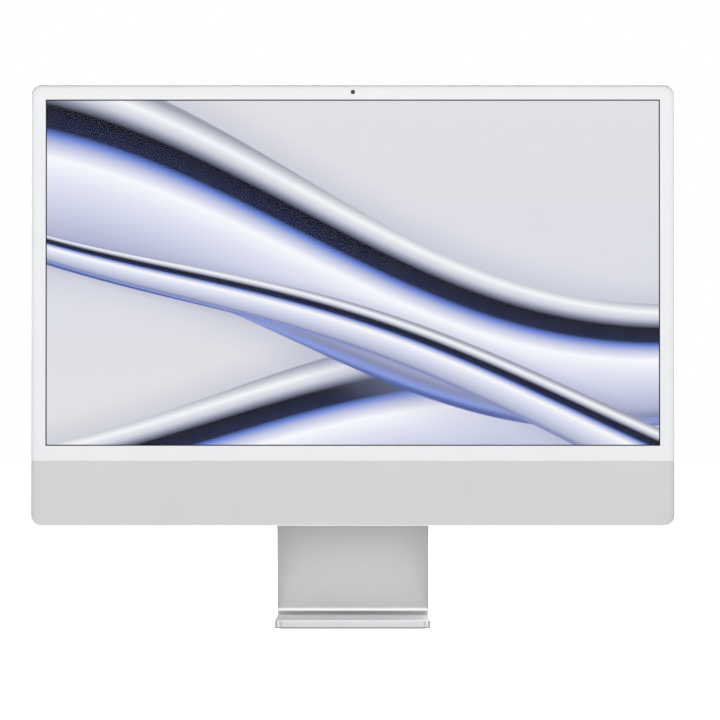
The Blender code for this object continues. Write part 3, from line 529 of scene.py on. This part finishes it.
chinInk = inkFinish("chin_ink", (0.635, 0.641, 0.653), (0.665, 0.671, 0.683), 0.46)
clearGlass = glassFinish()
circuit = circuitFinish()
coatedLens = lensFinish()
acrylic = guideFinish()
print("materials made")


# Rear housing: back and sides in one piece
housingSizes = {
    "corner": 9.1, "cornerSupport": 0.8, "lip": 0.6, "lipRound": 0.14, "ledge": 2.4, "wall": 3.0,
    "backWall": 1.3, "edge": 0.8, "edgeSupport": 0.4, "gap": 0.3, "mouth": 0.22, "bracketHole": 1.8,
    "flangeDepth": 1.6, "grilleCorner": 1.2, "grilleMouth": 0.1, "frameCorner": 1.6, "frameDepth": 1.35,
}
chinPlaces = {
    "inlet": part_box("power_inlet_cup"), "button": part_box("power_button"), "jack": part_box("headphone_jack"),
    "ports": [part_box(f"data_port_{n}") for n in range(1, 5)],
}
inletRadius, buttonRadius = 9.6, 5.6


def middleOf(box):
    return (box[0] + box[1]) / 2


def mouthCut(outlineAt, front, back, flare, mesh):
    # a straight cut whose outer end opens slightly; outlineAt gives the outline grown by a number
    rings = [(0, front), (0, back - flare), (0.35 * flare, back - 0.4 * flare)]
    rings += [(flare, back), (flare, back + flare)]
    return loft([at("y", outlineAt(by), y) for by, y in rings], mesh)


def makeHousing():
    s = inMetres(housingSizes)
    low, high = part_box("rear_housing")
    rect = (low.x, low.z, high.x, high.z)
    front, back = low.y, high.y
    inner = back - s["backWall"]
    run = [(s["wall"], inner), (s["wall"], front + s["ledge"]), (s["lip"], front + s["ledge"])]
    bend = s["lipRound"]
    run += [(s["lip"], front + bend), (s["lip"] - bend * 0.3, front + bend * 0.3), (s["lip"] - bend, front)]
    run += [(bend, front), (bend * 0.3, front + bend * 0.3), (0, front + bend), (0, front + 3 * bend)]
    edge = s["edge"]
    run.append((0, back - edge - s["edgeSupport"]))
    for i in range(7):
        turn = quarter * i / 6
        run.append((edge * (1 - math.cos(turn)), back - edge * (1 - math.sin(turn))))
    run.append((edge + s["edgeSupport"], back))
    rings = []
    for inset, y in run:
        outline = roundedRect(grow(rect, -inset), s["corner"] - inset, 24, s["cornerSupport"])
        rings.append(at("y", outline, y))
    shell = solid("rear_shell", loft(rings), housingMetal)

    gap, flare = s["gap"], s["mouth"]
    inside = inner - 1 * mm
    cuts = bmesh.new()
    holes = [("inlet", inletRadius * mm + gap, 96), ("button", buttonRadius * mm + gap * 0.6, 64)]
    for name, hole, steps in holes:
        centre = middleOf(chinPlaces[name]).xz
        mouthCut(lambda by: circlePoints(centre, hole + by, steps), inside, back, flare, cuts)
    for portLow, portHigh in chinPlaces["ports"]:
        wide, tall = portHigh.x - portLow.x + gap, portHigh.z - portLow.z + gap
        centre = middleOf((portLow, portHigh)).xz
        mouthCut(lambda by: obround(centre, wide + 2 * by, tall + 2 * by), inside, back, flare, cuts)
    for n in range(1, 5):
        screw = middleOf(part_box(f"hinge_screw_{n}")).xz
        prism(circlePoints(screw, s["bracketHole"], 24), inside, back + gap, mesh=cuts)
    jackLow, jackHigh = chinPlaces["jack"]
    jackRadius = (jackHigh.z - jackLow.z) / 2 + 0.5 * gap
    jackPlace = ((jackLow.y + jackHigh.y) / 2, (jackLow.z + jackHigh.z) / 2)
    left, deep = low.x, low.x + s["wall"] + gap
    rings = [(jackRadius + flare, left - flare), (jackRadius + flare, left)]
    rings += [(jackRadius, left + flare), (jackRadius, deep)]
    loft([at("x", circlePoints(jackPlace, r, 48), x) for r, x in rings], cuts)
    mouth, deep = s["grilleMouth"], low.z + s["wall"] + gap
    for name in grilleNames:
        rectIn = grow(grilleRect(name), gap * 0.5)
        rings = [(mouth, low.z - gap), (mouth, low.z), (0, low.z + 1.5 * mouth), (0, deep)]
        loft([at("z", roundedRect(grow(rectIn, by), s["grilleCorner"] + by, 8), z) for by, z in rings], cuts)
    carve(shell, cuts)
    frames = bmesh.new()
    for name in grilleNames:
        wide = grow(grilleRect(name), grilleSizes["lap"] * mm + gap)
        prism(roundedRect(wide, s["frameCorner"], 6), low.z + s["frameDepth"], deep, "z", frames)
    carve(shell, frames)
    fit(shell, "display_head", "aluminium", "rear_housing")


# Perforated strips in the underside
grilleSizes = {
    "thick": 1.3, "hole": 0.62, "pitch": 2.1, "rowGap": 1.9, "corner": 1.1, "lap": 1.0, "frameThick": 1.3,
}
grilleNames = ["air_grille_left", "air_grille_right", "speaker_grille_left", "speaker_grille_right"]


def grilleRect(name):
    low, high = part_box(name)
    lap = grilleSizes["lap"] * mm
    return (low.x + lap, low.y + lap, high.x - lap, high.y - lap)


def sizedTree(name, lengths, **others):
    # a geometry tree with named inputs; gives the tree and its inputs as values
    sizes = {**dict.fromkeys(lengths, "Float"), **others}
    group = bpy.data.node_groups.new(name, "GeometryNodeTree")
    group.is_modifier = True
    group.interface.new_socket("Geometry", in_out="OUTPUT", socket_type="NodeSocketGeometry")
    for label, kind in sizes.items():
        group.interface.new_socket(label, in_out="INPUT", socket_type="NodeSocket" + kind)
    tree = Growth(group)
    start = group.nodes.new("NodeGroupInput")
    return tree, {label: Value(tree, start.outputs[label]) for label in sizes}


def closeTree(tree, geometry, material):
    values = {0: tree.real(geometry), "Material": material}
    finished = tree.node("GeometryNodeSetMaterial", values=values)
    tree.node("NodeGroupOutput", values={0: finished})


def grown(name, tree, values):
    # runs the tree with these sizes and keeps the result as a plain mesh
    made = madeOf(name, bmesh.new())
    modifier = made.modifiers.new("sizes", "NODES")
    modifier.node_group = tree.tree
    for item in tree.tree.interface.items_tree:
        if item.in_out == "INPUT":
            modifier[item.identifier] = values[item.name]
    return flatten(made)


def vector(tree, x=0.0, y=0.0, z=0.0):
    return tree.node("ShaderNodeCombineXYZ", values={0: x, 1: y, 2: z})


def perforationTree():
    lengths = ["Length", "Depth", "Thickness", "Corner", "Hole", "Pitch", "Row Gap", "Lap", "Frame Thickness"]
    tree, size = sizedTree("perforation", lengths, Columns="Int", Centre="Vector")

    def outline(extra):
        values = {0: size["Length"] + extra, 1: size["Depth"] + extra}
        line = tree.node("GeometryNodeCurvePrimitiveQuadrilateral", {"mode": "RECTANGLE"}, values)
        corner = size["Corner"] + extra * 0.5
        values = {"Curve": line, "Count": 5, "Radius": corner}
        return tree.node("GeometryNodeFilletCurve", {"mode": "POLY"}, values)

    def plate(lines, thick, rise):
        flat = tree.node("GeometryNodeFillCurve", {"mode": "TRIANGLES"}, {0: tree.joined(lines)})
        values = {"Mesh": flat, "Offset Scale": thick, "Individual": False}
        top = tree.node("GeometryNodeExtrudeMesh", {"mode": "FACES"}, values)
        under = tree.node("GeometryNodeFlipFaces", values={0: flat})
        values = {"Geometry": tree.joined([top, under]), "Distance": 0.005 * mm}
        whole = tree.node("GeometryNodeMergeByDistance", values=values)
        return tree.moved(whole, vector(tree, z=rise))

    rows = []
    for side in (-1, 1):
        start = (size["Columns"] - 1) * size["Pitch"] * -0.5 + size["Pitch"] * (0.25 * side)
        place = vector(tree, start, size["Row Gap"] * (0.5 * side))
        rows.append(tree.row(size["Columns"], place, vector(tree, size["Pitch"])))
    values = {"Resolution": 14, "Radius": size["Hole"]}
    ring = tree.node("GeometryNodeCurvePrimitiveCircle", {"mode": "RADIUS"}, values)
    rings = tree.real(tree.copies(tree.joined(rows), ring))
    strip = plate([outline(0.0), rings], size["Thickness"], 0.0)
    lap = size["Lap"]
    frameRise = size["Thickness"] - 0.05 * mm
    framePlate = plate([outline(lap * 2), outline(lap * -0.6)], size["Frame Thickness"], frameRise)
    closeTree(tree, tree.moved(tree.joined([strip, framePlate]), size["Centre"]), aluminium)
    return tree


def makeGrilles():
    tree = perforationTree()
    s = inMetres(grilleSizes)
    for name in grilleNames:
        x0, y0, x1, y1 = grilleRect(name)
        columns = int((x1 - x0 - 1.2 * s["pitch"]) / s["pitch"])
        strip = grown(name + "_strip", tree, {
            "Length": x1 - x0, "Depth": y1 - y0, "Thickness": s["thick"], "Corner": s["corner"],
            "Hole": s["hole"], "Pitch": s["pitch"], "Row Gap": s["rowGap"], "Lap": s["lap"],
            "Frame Thickness": s["frameThick"], "Columns": columns,
            "Centre": ((x0 + x1) / 2, (y0 + y1) / 2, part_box(name)[0].z),
        })
        fit(strip, "display_head", "aluminium", name)


makeHousing()
makeGrilles()
print("housing and its grilles made")


# Front: clear glass, the print behind it, and the panel
frontSizes = {
    "glassCorner": 8.2, "glassEdge": 0.12, "printGap": 0.03, "printThick": 0.05, "printInset": 0.05,
    "chinTop": 55.3, "cameraHole": 1.85, "panelCorner": 0.6, "panelEdge": 0.1,
    "windowInset": (2.05, 2.3, 2.05, 2.35), "windowCorner": 0.5, "blackLine": 1.0, "seal": 0.22,
}


def makeFront():
    s = frontSizes
    glassLow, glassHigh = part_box("cover_glass")
    rect = grow((glassLow.x, glassLow.z, glassHigh.x, glassHigh.z), s["seal"] * mm)
    corner = (s["glassCorner"] + s["seal"]) * mm
    pane = slab(rect, corner, glassLow.y, glassHigh.y, s["glassEdge"] * mm, steps=24)
    fit(solid("front_pane", pane, clearGlass), "display_head", "glass", "cover_glass")

    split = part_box("rear_housing")[0].z + s["chinTop"] * mm
    near = glassHigh.y + s["printGap"] * mm
    far = near + s["printThick"] * mm
    inset = s["printInset"] * mm
    upper = (rect[0] + inset, split, rect[2] - inset, rect[3] - inset)
    lower = (rect[0] + inset, rect[1] + inset, rect[2] - inset, split)
    soft, square = corner - inset, 0.01 * mm
    border = prism(roundedRect(upper, [soft, soft, square, square], 24), near, far)
    border = solid("border_print", border, borderInk)
    panelLow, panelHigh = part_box("lcd_panel")
    trim = [value * mm for value in s["windowInset"]]
    window = [panelLow.x + trim[0], panelLow.z + trim[1], panelHigh.x - trim[2], panelHigh.z - trim[3]]
    lens = middleOf(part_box("camera_lens")).xz
    holes = prism(roundedRect(window, s["windowCorner"] * mm, 6), near - mm, far + mm)
    prism(circlePoints(lens, s["cameraHole"] * mm, 48), near - mm, far + mm, mesh=holes)
    fit(carve(border, holes), "display_head", "glass")
    chin = prism(roundedRect(lower, [square, square, soft, soft], 24), near, far)
    fit(solid("chin_print", chin, chinInk), "display_head", "glass")

    low = Vector((window[0], 0, window[1]))
    high = Vector((window[2], 0, window[3]))
    picture = pictureFinish(low, high, s["blackLine"] * mm)
    panelRect = (panelLow.x, panelLow.z, panelHigh.x, panelHigh.z)
    panel = slab(panelRect, s["panelCorner"] * mm, panelLow.y, panelHigh.y, s["panelEdge"] * mm, steps=4)
    fit(solid("picture_panel", panel, picture), "display_head", "screen", "lcd_panel")


makeFront()
print("front made")


# Stand: one bent plate with a barrel at each end of its top edge
legSizes = {
    "plate": 6.4, "bendInside": 5.0, "corner": 7.0, "topCorner": 1.3, "edge": 0.6, "bendSteps": 22,
    "bendMargin": 1.5, "barrel": 7.5, "barrelLength": 27.0, "barrelEdge": 0.4, "gap": 0.4, "bore": 3.3,
    "springBore": 5.6, "springDepth": 19.0, "springMouth": 0.2, "cableHole": 15.0, "holeEdge": 0.6,
    "grooveDepth": 1.5, "padGap": 0.3, "padCorner": 5.0, "padEdge": 0.35,
}


def knuckleEnd():
    # half the length of the bracket's knuckle, between the leg's two barrels
    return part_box("stand_leg")[1].x - (legSizes["barrelLength"] + legSizes["gap"]) * mm


def legPath():
    # where the plate's middle bends: centre, radius, lean of the neck,
    # and distances along it from the foot's front
    s = inMetres(legSizes)
    low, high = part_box("stand_leg")
    outer = s["bendInside"] + s["plate"]
    centre = (high.y - outer, low.z + outer)
    radius = s["bendInside"] + s["plate"] / 2
    reach = Vector((hinge.y - centre[0], hinge.z - centre[1]))
    lean = math.atan2(reach.y, reach.x) - math.acos(radius / reach.length)
    first = centre[0] - low.y
    second = first + radius * (quarter + lean)
    return centre, radius, lean, first, second, second + math.sqrt(reach.length ** 2 - radius ** 2)


def onLeg(path, along, out):
    # (y, z) of a point that far along the plate's middle and out from it, towards the inside of the bend
    centre, radius, lean, first, second, _ = path
    if along <= first:
        return centre[0] - first + along, centre[1] - radius + out
    turn = min(along, second) - first
    angle = turn / radius - quarter
    y = centre[0] + (radius - out) * math.cos(angle)
    z = centre[1] + (radius - out) * math.sin(angle)
    rest = max(along - second, 0)
    return y - rest * math.sin(lean), z + rest * math.cos(lean)


def makeLeg():
    s = inMetres(legSizes)
    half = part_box("stand_leg")[1].x
    path = legPath()
    lean, first, second, end = path[2:]
    thick = s["plate"] / 2
    corners = [s["topCorner"], s["corner"], s["corner"], s["topCorner"]]
    plate = slab((0, -half, end, half), corners, -thick, thick, s["edge"], "z", 20)
    steps = legSizes["bendSteps"]
    places = [first - s["bendMargin"], second + s["bendMargin"]]
    places += [first + (second - first) * i / steps for i in range(steps + 1)]
    for place in places:
        geometry = plate.verts[:] + plate.edges[:] + plate.faces[:]
        bmesh.ops.bisect_plane(plate, geom=geometry, plane_co=(place, 0, 0), plane_no=(1, 0, 0))
    for vert in plate.verts:
        along, x, out = vert.co
        vert.co = (x, *onLeg(path, along, out))
    leg = solid("bent_leg", plate, aluminium)

    knuckle = knuckleEnd()
    for side in (-1, 1):
        near, far = side * (knuckle + s["gap"]), side * half
        line = [(0, near), (s["barrel"], near), (s["barrel"], far), (0, far)]
        carve(leg, lathe(softened(line, s["barrelEdge"]), hingePoint, "x", 96), "UNION")
    wide = knuckle + s["gap"]
    carve(leg, prism(circlePoints(hingePoint, s["barrel"] + 2 * s["gap"], 96), -wide, wide, "x"))
    carve(leg, prism(circlePoints(hingePoint, s["bore"], 48), -half - mm, half + mm, "x"))
    bores = bmesh.new()
    for side in (-1, 1):
        inner = side * (half - s["springDepth"])
        bore, mouth = s["springBore"], s["springMouth"]
        rings = [(bore, inner), (bore, side * (half - mouth))]
        rings += [(bore + mouth, side * half), (bore + mouth, side * (half + mm))]
        loft([at("x", circlePoints(hingePoint, r, 64), x) for r, x in rings], bores)
    carve(leg, bores)

    portZ = middleOf(chinPlaces["inlet"]).z
    neckY = hinge.y + (hinge.z - portZ) * math.tan(lean)
    edge, radius = s["holeEdge"], s["cableHole"]
    line = []
    for i in range(6):
        turn = quarter * i / 5
        line.append((radius + edge * (1 - math.cos(turn)), thick - edge * (1 - math.sin(turn))))
    line = [*line, (radius + edge, thick + mm)]
    profile = [(r, -n) for r, n in reversed(line)] + line
    hole = lathe([(0, -thick - mm), *profile, (0, thick + mm)], (0, 0), "y", 128)
    hole.transform(Matrix.Translation((0, neckY, portZ)) @ Matrix.Rotation(lean, 4, "X"))
    carve(leg, hole)

    padLow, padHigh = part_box("foot_pad")
    padRect = (padLow.x, padLow.y, padHigh.x, padHigh.y)
    gap, corner = s["padGap"], s["padCorner"]
    carve(leg, prism(roundedRect(grow(padRect, gap), corner + gap), 0, s["grooveDepth"], "z"))
    fit(leg, "stand", "aluminium", "stand_leg", angle=28)
    pad = slab(padRect, corner, padLow.z, padHigh.z, s["padEdge"], "z")
    fit(solid("soft_pad", pad, greyRubber), "stand", "rubber", "foot_pad")


makeLeg()
print("stand made")


# Hinge bracket on the back of the housing, and the caps that close the barrels
bracketSizes = {
    "thick": 2.0, "height": 36.0, "corner": 3.0, "edge": 0.35, "knuckleEdge": 0.4, "bore": 3.3,
    "screwGap": 0.3, "capEdge": 0.35, "capDish": 0.12,
}


def makeHinge():
    s = inMetres(bracketSizes)
    low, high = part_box("hinge_bracket")
    back = low.y + s["thick"]
    rect = around(0, hinge.z, high.x - low.x, s["height"])
    base = solid("knuckle_bracket", slab(rect, s["corner"], low.y, back, s["edge"]), aluminium)
    radius = legSizes["barrel"] * mm
    root = (low.y + back) / 2
    rings = []
    knuckle = knuckleEnd()
    for inset, x in edgeRun(-knuckle, knuckle, s["knuckleEdge"], 0.3 * mm, 3):
        r = radius - inset
        side = [(root, hinge.z - r), *arcPoints(hingePoint, r, -quarter, quarter, 36), (root, hinge.z + r)]
        rings.append(at("x", side, x))
    carve(base, loft(rings), "UNION")
    carve(base, prism(circlePoints(hingePoint, s["bore"], 48), -knuckle - mm, knuckle + mm, "x"))
    holes = bmesh.new()
    hole = housingSizes["bracketHole"] * mm
    for n in range(1, 5):
        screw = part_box(f"hinge_screw_{n}")
        prism(circlePoints(middleOf(screw).xz, hole, 24), low.y - mm, screw[1].y + s["screwGap"], mesh=holes)
    carve(base, holes)
    fit(base, "display_head", "aluminium", "hinge_bracket")

    for word, side in (("left", -1), ("right", 1)):
        capLow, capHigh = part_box(f"hinge_cap_{word}")
        inner, outer = (capHigh.x, capLow.x) if side < 0 else (capLow.x, capHigh.x)
        r = (capHigh.z - capLow.z) / 2
        dish = outer - side * s["capDish"]
        line = [(0, inner), (r, inner), (r, outer), (r * 0.78, outer), (r * 0.74, dish), (0, dish)]
        cap = lathe(softened(line, s["capEdge"], 3), hingePoint, "x", 64)
        fit(solid(f"barrel_cap_{word}", cap, aluminium), "stand", "aluminium", f"hinge_cap_{word}")


makeHinge()
print("hinge made")


# Power button with its engraved on-off sign
buttonSizes = {
    "edge": 0.35, "dish": 0.12, "plunger": 1.2, "flange": 0.9, "sign": 1.75, "stroke": 0.36,
    "signDepth": 0.12, "gapAngle": 38.0,
}


def makeButton():
    s = inMetres(buttonSizes)
    low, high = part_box("power_button")
    centre, back = middleOf((low, high)).xz, high.y
    radius, flange = buttonRadius * mm, (high.x - low.x) / 2
    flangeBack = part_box("rear_housing")[1].y - housingSizes["flangeDepth"] * mm
    flangeFront, tip, plunger = flangeBack - s["flange"], low.y, s["plunger"]
    line = [(0, tip), (plunger, tip), (plunger, flangeFront), (flange, flangeFront)]
    line += [(flange, flangeBack), (radius, flangeBack), (radius, back), (radius * 0.8, back)]
    line += [(radius * 0.4, back - s["dish"] * 0.8), (0, back - s["dish"])]
    button = solid("press_button", lathe(softened(line, s["edge"], 5), centre, steps=96), aluminium)
    gap = math.radians(buttonSizes["gapAngle"])
    outer, inner = s["sign"] + s["stroke"] / 2, s["sign"] - s["stroke"] / 2
    start, end = quarter + gap, quarter - gap + math.tau
    ring = arcPoints(centre, outer, start, end, 40) + arcPoints(centre, inner, end, start, 40)
    floor = back - s["dish"] - s["signDepth"]
    sign = prism(ring, floor, back + mm)
    bar = around(centre[0], centre[1] + s["sign"] * 0.85, s["stroke"], s["sign"] * 1.1)
    prism(roundedRect(bar, s["stroke"] * 0.49, 6), floor, back + mm, mesh=sign)
    carve(button, sign)
    button.data.materials.append(greyPaint)
    for face in button.data.polygons:
        if abs(face.center.y - floor) < 0.01 * mm:
            face.material_index = 1
    fit(button, "power_button_slide", "aluminium", "power_button")


# Sockets in the back: four data ports, the power inlet and, in the left side, the headphone socket
portSizes = {
    "shell": 0.35, "mouthEdge": 0.1, "tongueThick": 0.7, "tongueHeight": 6.6, "tongueDepth": 1.8,
    "tongueCorner": 0.3, "tongueEdge": 0.15, "contacts": 12, "contactPitch": 0.5, "contactStart": 0.5,
    "contactWidth": 0.27, "contactLength": 3.4, "contactThick": 0.05,
}
inletSizes = {
    "wall": 1.0, "flange": 1.4, "floor": 5.5, "mouthEdge": 0.4, "rimEdge": 0.12, "blockEdge": 0.2,
    "pins": 5, "pinPitch": 1.65, "pinRadius": 0.5, "pinLength": 0.7,
}
jackSizes = {
    "bore": 1.8, "leadIn": 0.35, "soft": 0.12, "ringDepth": 0.5, "ringLength": 1.2, "ringWall": 0.3,
    "blockCorner": 0.5, "blockEdge": 0.2,
}


def contactTree():
    lengths = ["Pitch", "Width", "Length", "Thickness", "Half Tongue", "Port Pitch"]
    tree, size = sizedTree("contacts", lengths, Contacts="Int", Ports="Int", Start="Vector")
    barSize = vector(tree, size["Thickness"], size["Length"], size["Width"])
    bar = tree.node("GeometryNodeMeshCube", values={0: barSize})
    rows = []
    for side in (-1, 1):
        start = vector(tree, size["Half Tongue"] * side, 0.0, (size["Contacts"] - 1) * size["Pitch"] * -0.5)
        rows.append(tree.row(size["Contacts"], start, vector(tree, z=size["Pitch"])))
    comb = tree.real(tree.copies(tree.joined(rows), bar))
    places = tree.row(size["Ports"], size["Start"], vector(tree, size["Port Pitch"]))
    closeTree(tree, tree.copies(places, comb), gold)
    return tree


def makePorts():
    s = inMetres(portSizes)
    for n, (low, high) in enumerate(chinPlaces["ports"], 1):
        centre = middleOf((low, high)).xz
        wide, tall = high.x - low.x, high.z - low.z
        floor = low.y + 2 * s["shell"]
        edge, inner = s["mouthEdge"], s["shell"]
        rings = [(0, low.y), (0, high.y - edge), (edge, high.y), (inner - 1.2 * edge, high.y)]
        rings += [(inner, high.y - 1.5 * edge), (inner, floor)]
        shape = [at("y", obround(centre, wide - 2 * by, tall - 2 * by), y) for by, y in rings]
        shell = solid("socket", loft(shape), steel)
        tongueRect = around(*centre, s["tongueThick"], s["tongueHeight"])
        root, tip = floor - 0.2 * mm, high.y - s["tongueDepth"]
        tongue = slab(tongueRect, s["tongueCorner"], root, tip, s["tongueEdge"], steps=4)
        port = merged(f"socket_{n}", [shell, solid("tongue", tongue, blackPlastic)])
        fit(port, "display_head", "steel", f"data_port_{n}")
    first, last = middleOf(chinPlaces["ports"][0]), middleOf(chinPlaces["ports"][-1])
    mouth = chinPlaces["ports"][0][1].y
    middleY = mouth - s["tongueDepth"] - s["contactStart"] - s["contactLength"] / 2
    contacts = grown("socket_contacts", contactTree(), {
        "Pitch": s["contactPitch"], "Width": s["contactWidth"], "Length": s["contactLength"],
        "Thickness": s["contactThick"], "Half Tongue": s["tongueThick"] / 2,
        "Port Pitch": (last.x - first.x) / 3, "Contacts": portSizes["contacts"], "Ports": 4,
        "Start": (first.x, middleY, first.z),
    })
    fit(contacts, "display_head", "copper")


def pinTree():
    tree, size = sizedTree("pins", ["Pitch", "Radius", "Length"], Pins="Int", Centre="Vector")
    values = {"Vertices": 24, "Depth": size["Length"]}
    values.update({"Radius Top": size["Radius"] * 0.7, "Radius Bottom": size["Radius"]})
    pin = tree.node("GeometryNodeMeshCone", values=values)
    turned = tree.node("GeometryNodeTransform", values={"Geometry": pin, "Rotation": (-quarter, 0, 0)})
    start = vector(tree, (size["Pins"] - 1) * size["Pitch"] * -0.5)
    row = tree.copies(tree.row(size["Pins"], start, vector(tree, size["Pitch"])), turned)
    closeTree(tree, tree.moved(row, size["Centre"]), gold)
    return tree


def makeInlet():
    s = inMetres(inletSizes)
    low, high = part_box("power_inlet_cup")
    centre = middleOf((low, high)).xz
    outer, mouth = inletRadius * mm, high.y
    inner = outer - s["wall"]
    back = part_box("rear_housing")[1].y
    floor = back - s["floor"]
    flangeBack = back - housingSizes["flangeDepth"] * mm
    flangeFront, flange = flangeBack - s["wall"], outer + s["flange"]
    edge, rim = s["mouthEdge"], s["rimEdge"]
    line = [(0, low.y), (outer, low.y), (outer, flangeFront), (flange, flangeFront), (flange, flangeBack)]
    line += [(outer, flangeBack), (outer, mouth - rim), (outer - rim, mouth)]
    line += [(inner + edge, mouth), (inner, mouth - edge), (inner, floor), (0, floor)]
    cup = lathe(softened(line, 0.15 * mm, 3), centre, steps=96)
    fit(solid("inlet_cup", cup, steel), "display_head", "steel", "power_inlet_cup")
    blockLow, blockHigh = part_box("power_inlet_contacts")
    rect = (blockLow.x, blockLow.z, blockHigh.x, blockHigh.z)
    corner = (blockHigh.z - blockLow.z) / 2 - s["blockEdge"] / 2
    block = slab(rect, corner, blockLow.y, blockHigh.y, s["blockEdge"], steps=16)
    fit(solid("inlet_block", block, blackPlastic), "display_head", "black_plastic", "power_inlet_contacts")
    pins = grown("inlet_pins", pinTree(), {
        "Pitch": s["pinPitch"], "Radius": s["pinRadius"], "Length": s["pinLength"],
        "Pins": inletSizes["pins"], "Centre": (centre[0], blockHigh.y - 0.1 * mm, centre[1]),
    })
    fit(pins, "display_head", "copper")


def makeJack():
    s = inMetres(jackSizes)
    low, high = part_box("headphone_jack")
    centre = ((low.y + high.y) / 2, (low.z + high.z) / 2)
    radius, bore, lead = (high.z - low.z) / 2, s["bore"], s["leadIn"]
    line = [(0, high.x), (radius, high.x), (radius, low.x), (bore + lead, low.x), (bore, low.x + lead)]
    line += [(bore, high.x - bore), (0, high.x - bore)]
    barrel = solid("socket_body", lathe(softened(line, s["soft"], 3), centre, "x", 64), blackPlastic)
    ringLow, ringInner, ringOuter = low.x + s["ringDepth"], bore - s["soft"], bore + s["ringWall"]
    ringHigh = ringLow + s["ringLength"]
    line = [(ringInner, ringLow), (ringOuter, ringLow), (ringOuter, ringHigh), (ringInner, ringHigh)]
    ring = solid("socket_ring", lathe(line, centre, "x", 48), steel)
    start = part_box("rear_housing")[0].x + (housingSizes["wall"] + housingSizes["gap"]) * mm
    rect = around(*centre, high.z - low.z, high.z - low.z)
    edge = s["blockEdge"]
    block = slab(rect, s["blockCorner"], start, high.x - edge, edge, "x", 4)
    block = solid("socket_block", block, blackPlastic)
    carve(block, prism(circlePoints(centre, bore, 48), start - mm, high.x - bore, "x"))
    fit(merged("headphone_socket", [barrel, ring, block]), "display_head", "black_plastic", "headphone_jack")


makeButton()
makePorts()
makeInlet()
makeJack()
print("button and sockets made")


# What stays as it is in the frame gets its finish here
carriedOver = {
    "display_back_tray": aluminium, "light_guide": acrylic, "led_light_bar": circuit, "timing_board": circuit,
    "display_cable": copper, "sensor_board": circuit, "antenna_": circuit, "camera_module": blackPlastic,
    "camera_lens": coatedLens, "glass_gasket": paleFoam, "hinge_backing_plate": steel, "hinge_screw": steel,
    "hinge_shaft": steel, "friction_clip": steel, "counterbalance_spring": steel, "logic_board": circuit,
    "processor": blackPlastic, "cold_plate": copper, "heat_pipe": copper, "fin_stack": copper,
    "fan_housing": blackPlastic, "fan_impeller": blackPlastic, "speaker_": blackPlastic,
    "woofer": blackPlastic, "port_board": circuit, "power_switch": blackPlastic, "clock_battery": steel,
}
for name, node in frame["nodes"].items():
    if node.hide_render:
        continue
    finish = next(value for start, value in carriedOver.items() if name.startswith(start))
    for slot in node.material_slots:
        slot.material = finish
print("carried-over pieces finished")


# Floor, light and camera
studio = {
    "floor": 60.0, "floorGloss": 0.8, "world": 0.7,
    "floorShown": (0.9, 0.5), "floorOther": (0.32, 0.05),  # tone and glow: to the camera, to other light
    "lights": [  # name, place, aim, width, height, brightness
        ("top", (0.0, -0.3, 2.6), (0.0, 0.0, 0.2), 3.8, 3.0, 1.35),
        ("front", (0.0, -3.0, 1.12), (0.0, 0.0, 1.12), 3.0, 2.2, 1.17),
        ("left", (-3.0, -1.0, 0.9), (0.0, 0.0, 0.2), 1.6, 1.7, 2.6),
        ("right", (3.0, -1.0, 0.9), (0.0, 0.0, 0.2), 1.6, 1.7, 2.6),
        ("rear", (1.2, 3.6, 2.2), (0.0, 0.0, 0.2), 2.8, 2.0, 1.9),
    ],
    "camera": (0.0061, -4.224, 0.1616), "aim": (0.0061, -0.004, 0.2254), "lens": 248.4,
}


def cameraSees(look, shown, other):
    # one shader where the camera looks straight at it, and another for all other light
    path = look.node("ShaderNodeLightPath")
    return look.node("ShaderNodeMixShader", values={0: path, 1: other, 2: shown})


def pointed(item, place, aim):
    item.location = place
    item.rotation_euler = (Vector(aim) - Vector(place)).to_track_quat("-Z", "Y").to_euler()
    scene.collection.objects.link(item)


def makeStudio():
    white = (1, 1, 1, 1)
    half = studio["floor"] / 2
    floor = solid("floor", bmesh.new())
    corners = [(-half, -half, 0), (half, -half, 0), (half, half, 0), (-half, half, 0)]
    floor.data.from_pydata(corners, [], [(0, 1, 2, 3)])
    look = Finish("pale_floor")
    shown, other = [
        look.shader(Base_Color=(tone, tone, tone, 1), Roughness=studio["floorGloss"],
                    Emission_Color=white, Emission_Strength=glow)
        for tone, glow in (studio["floorShown"], studio["floorOther"])
    ]
    floor.data.materials.append(look.done(cameraSees(look, shown, other)))

    world = bpy.data.worlds.new("studio")
    world.use_nodes = True
    world.node_tree.nodes.clear()
    sky = Tree(world.node_tree)
    shown = sky.node("ShaderNodeBackground", values={"Color": white, "Strength": 1.0})
    other = sky.node("ShaderNodeBackground", values={"Color": white, "Strength": studio["world"]})
    sky.node("ShaderNodeOutputWorld", values={"Surface": cameraSees(sky, shown, other)})
    scene.world = world
    for name, place, aim, width, height, brightness in studio["lights"]:
        data = bpy.data.lights.new(name, "AREA")
        data.shape = "RECTANGLE"
        data.size = width
        data.size_y = height
        data.energy = brightness * math.pi * width * height
        light = bpy.data.objects.new("light_" + name, data)
        light.visible_camera = False
        pointed(light, place, aim)

    data = bpy.data.cameras.new("camera")
    data.lens = studio["lens"]
    data.sensor_width = 36.0
    data.clip_end = 200.0
    camera = bpy.data.objects.new("camera", data)
    pointed(camera, studio["camera"], studio["aim"])
    scene.camera = camera
    scene.view_settings.view_transform = "Standard"


makeStudio()
print("studio made")
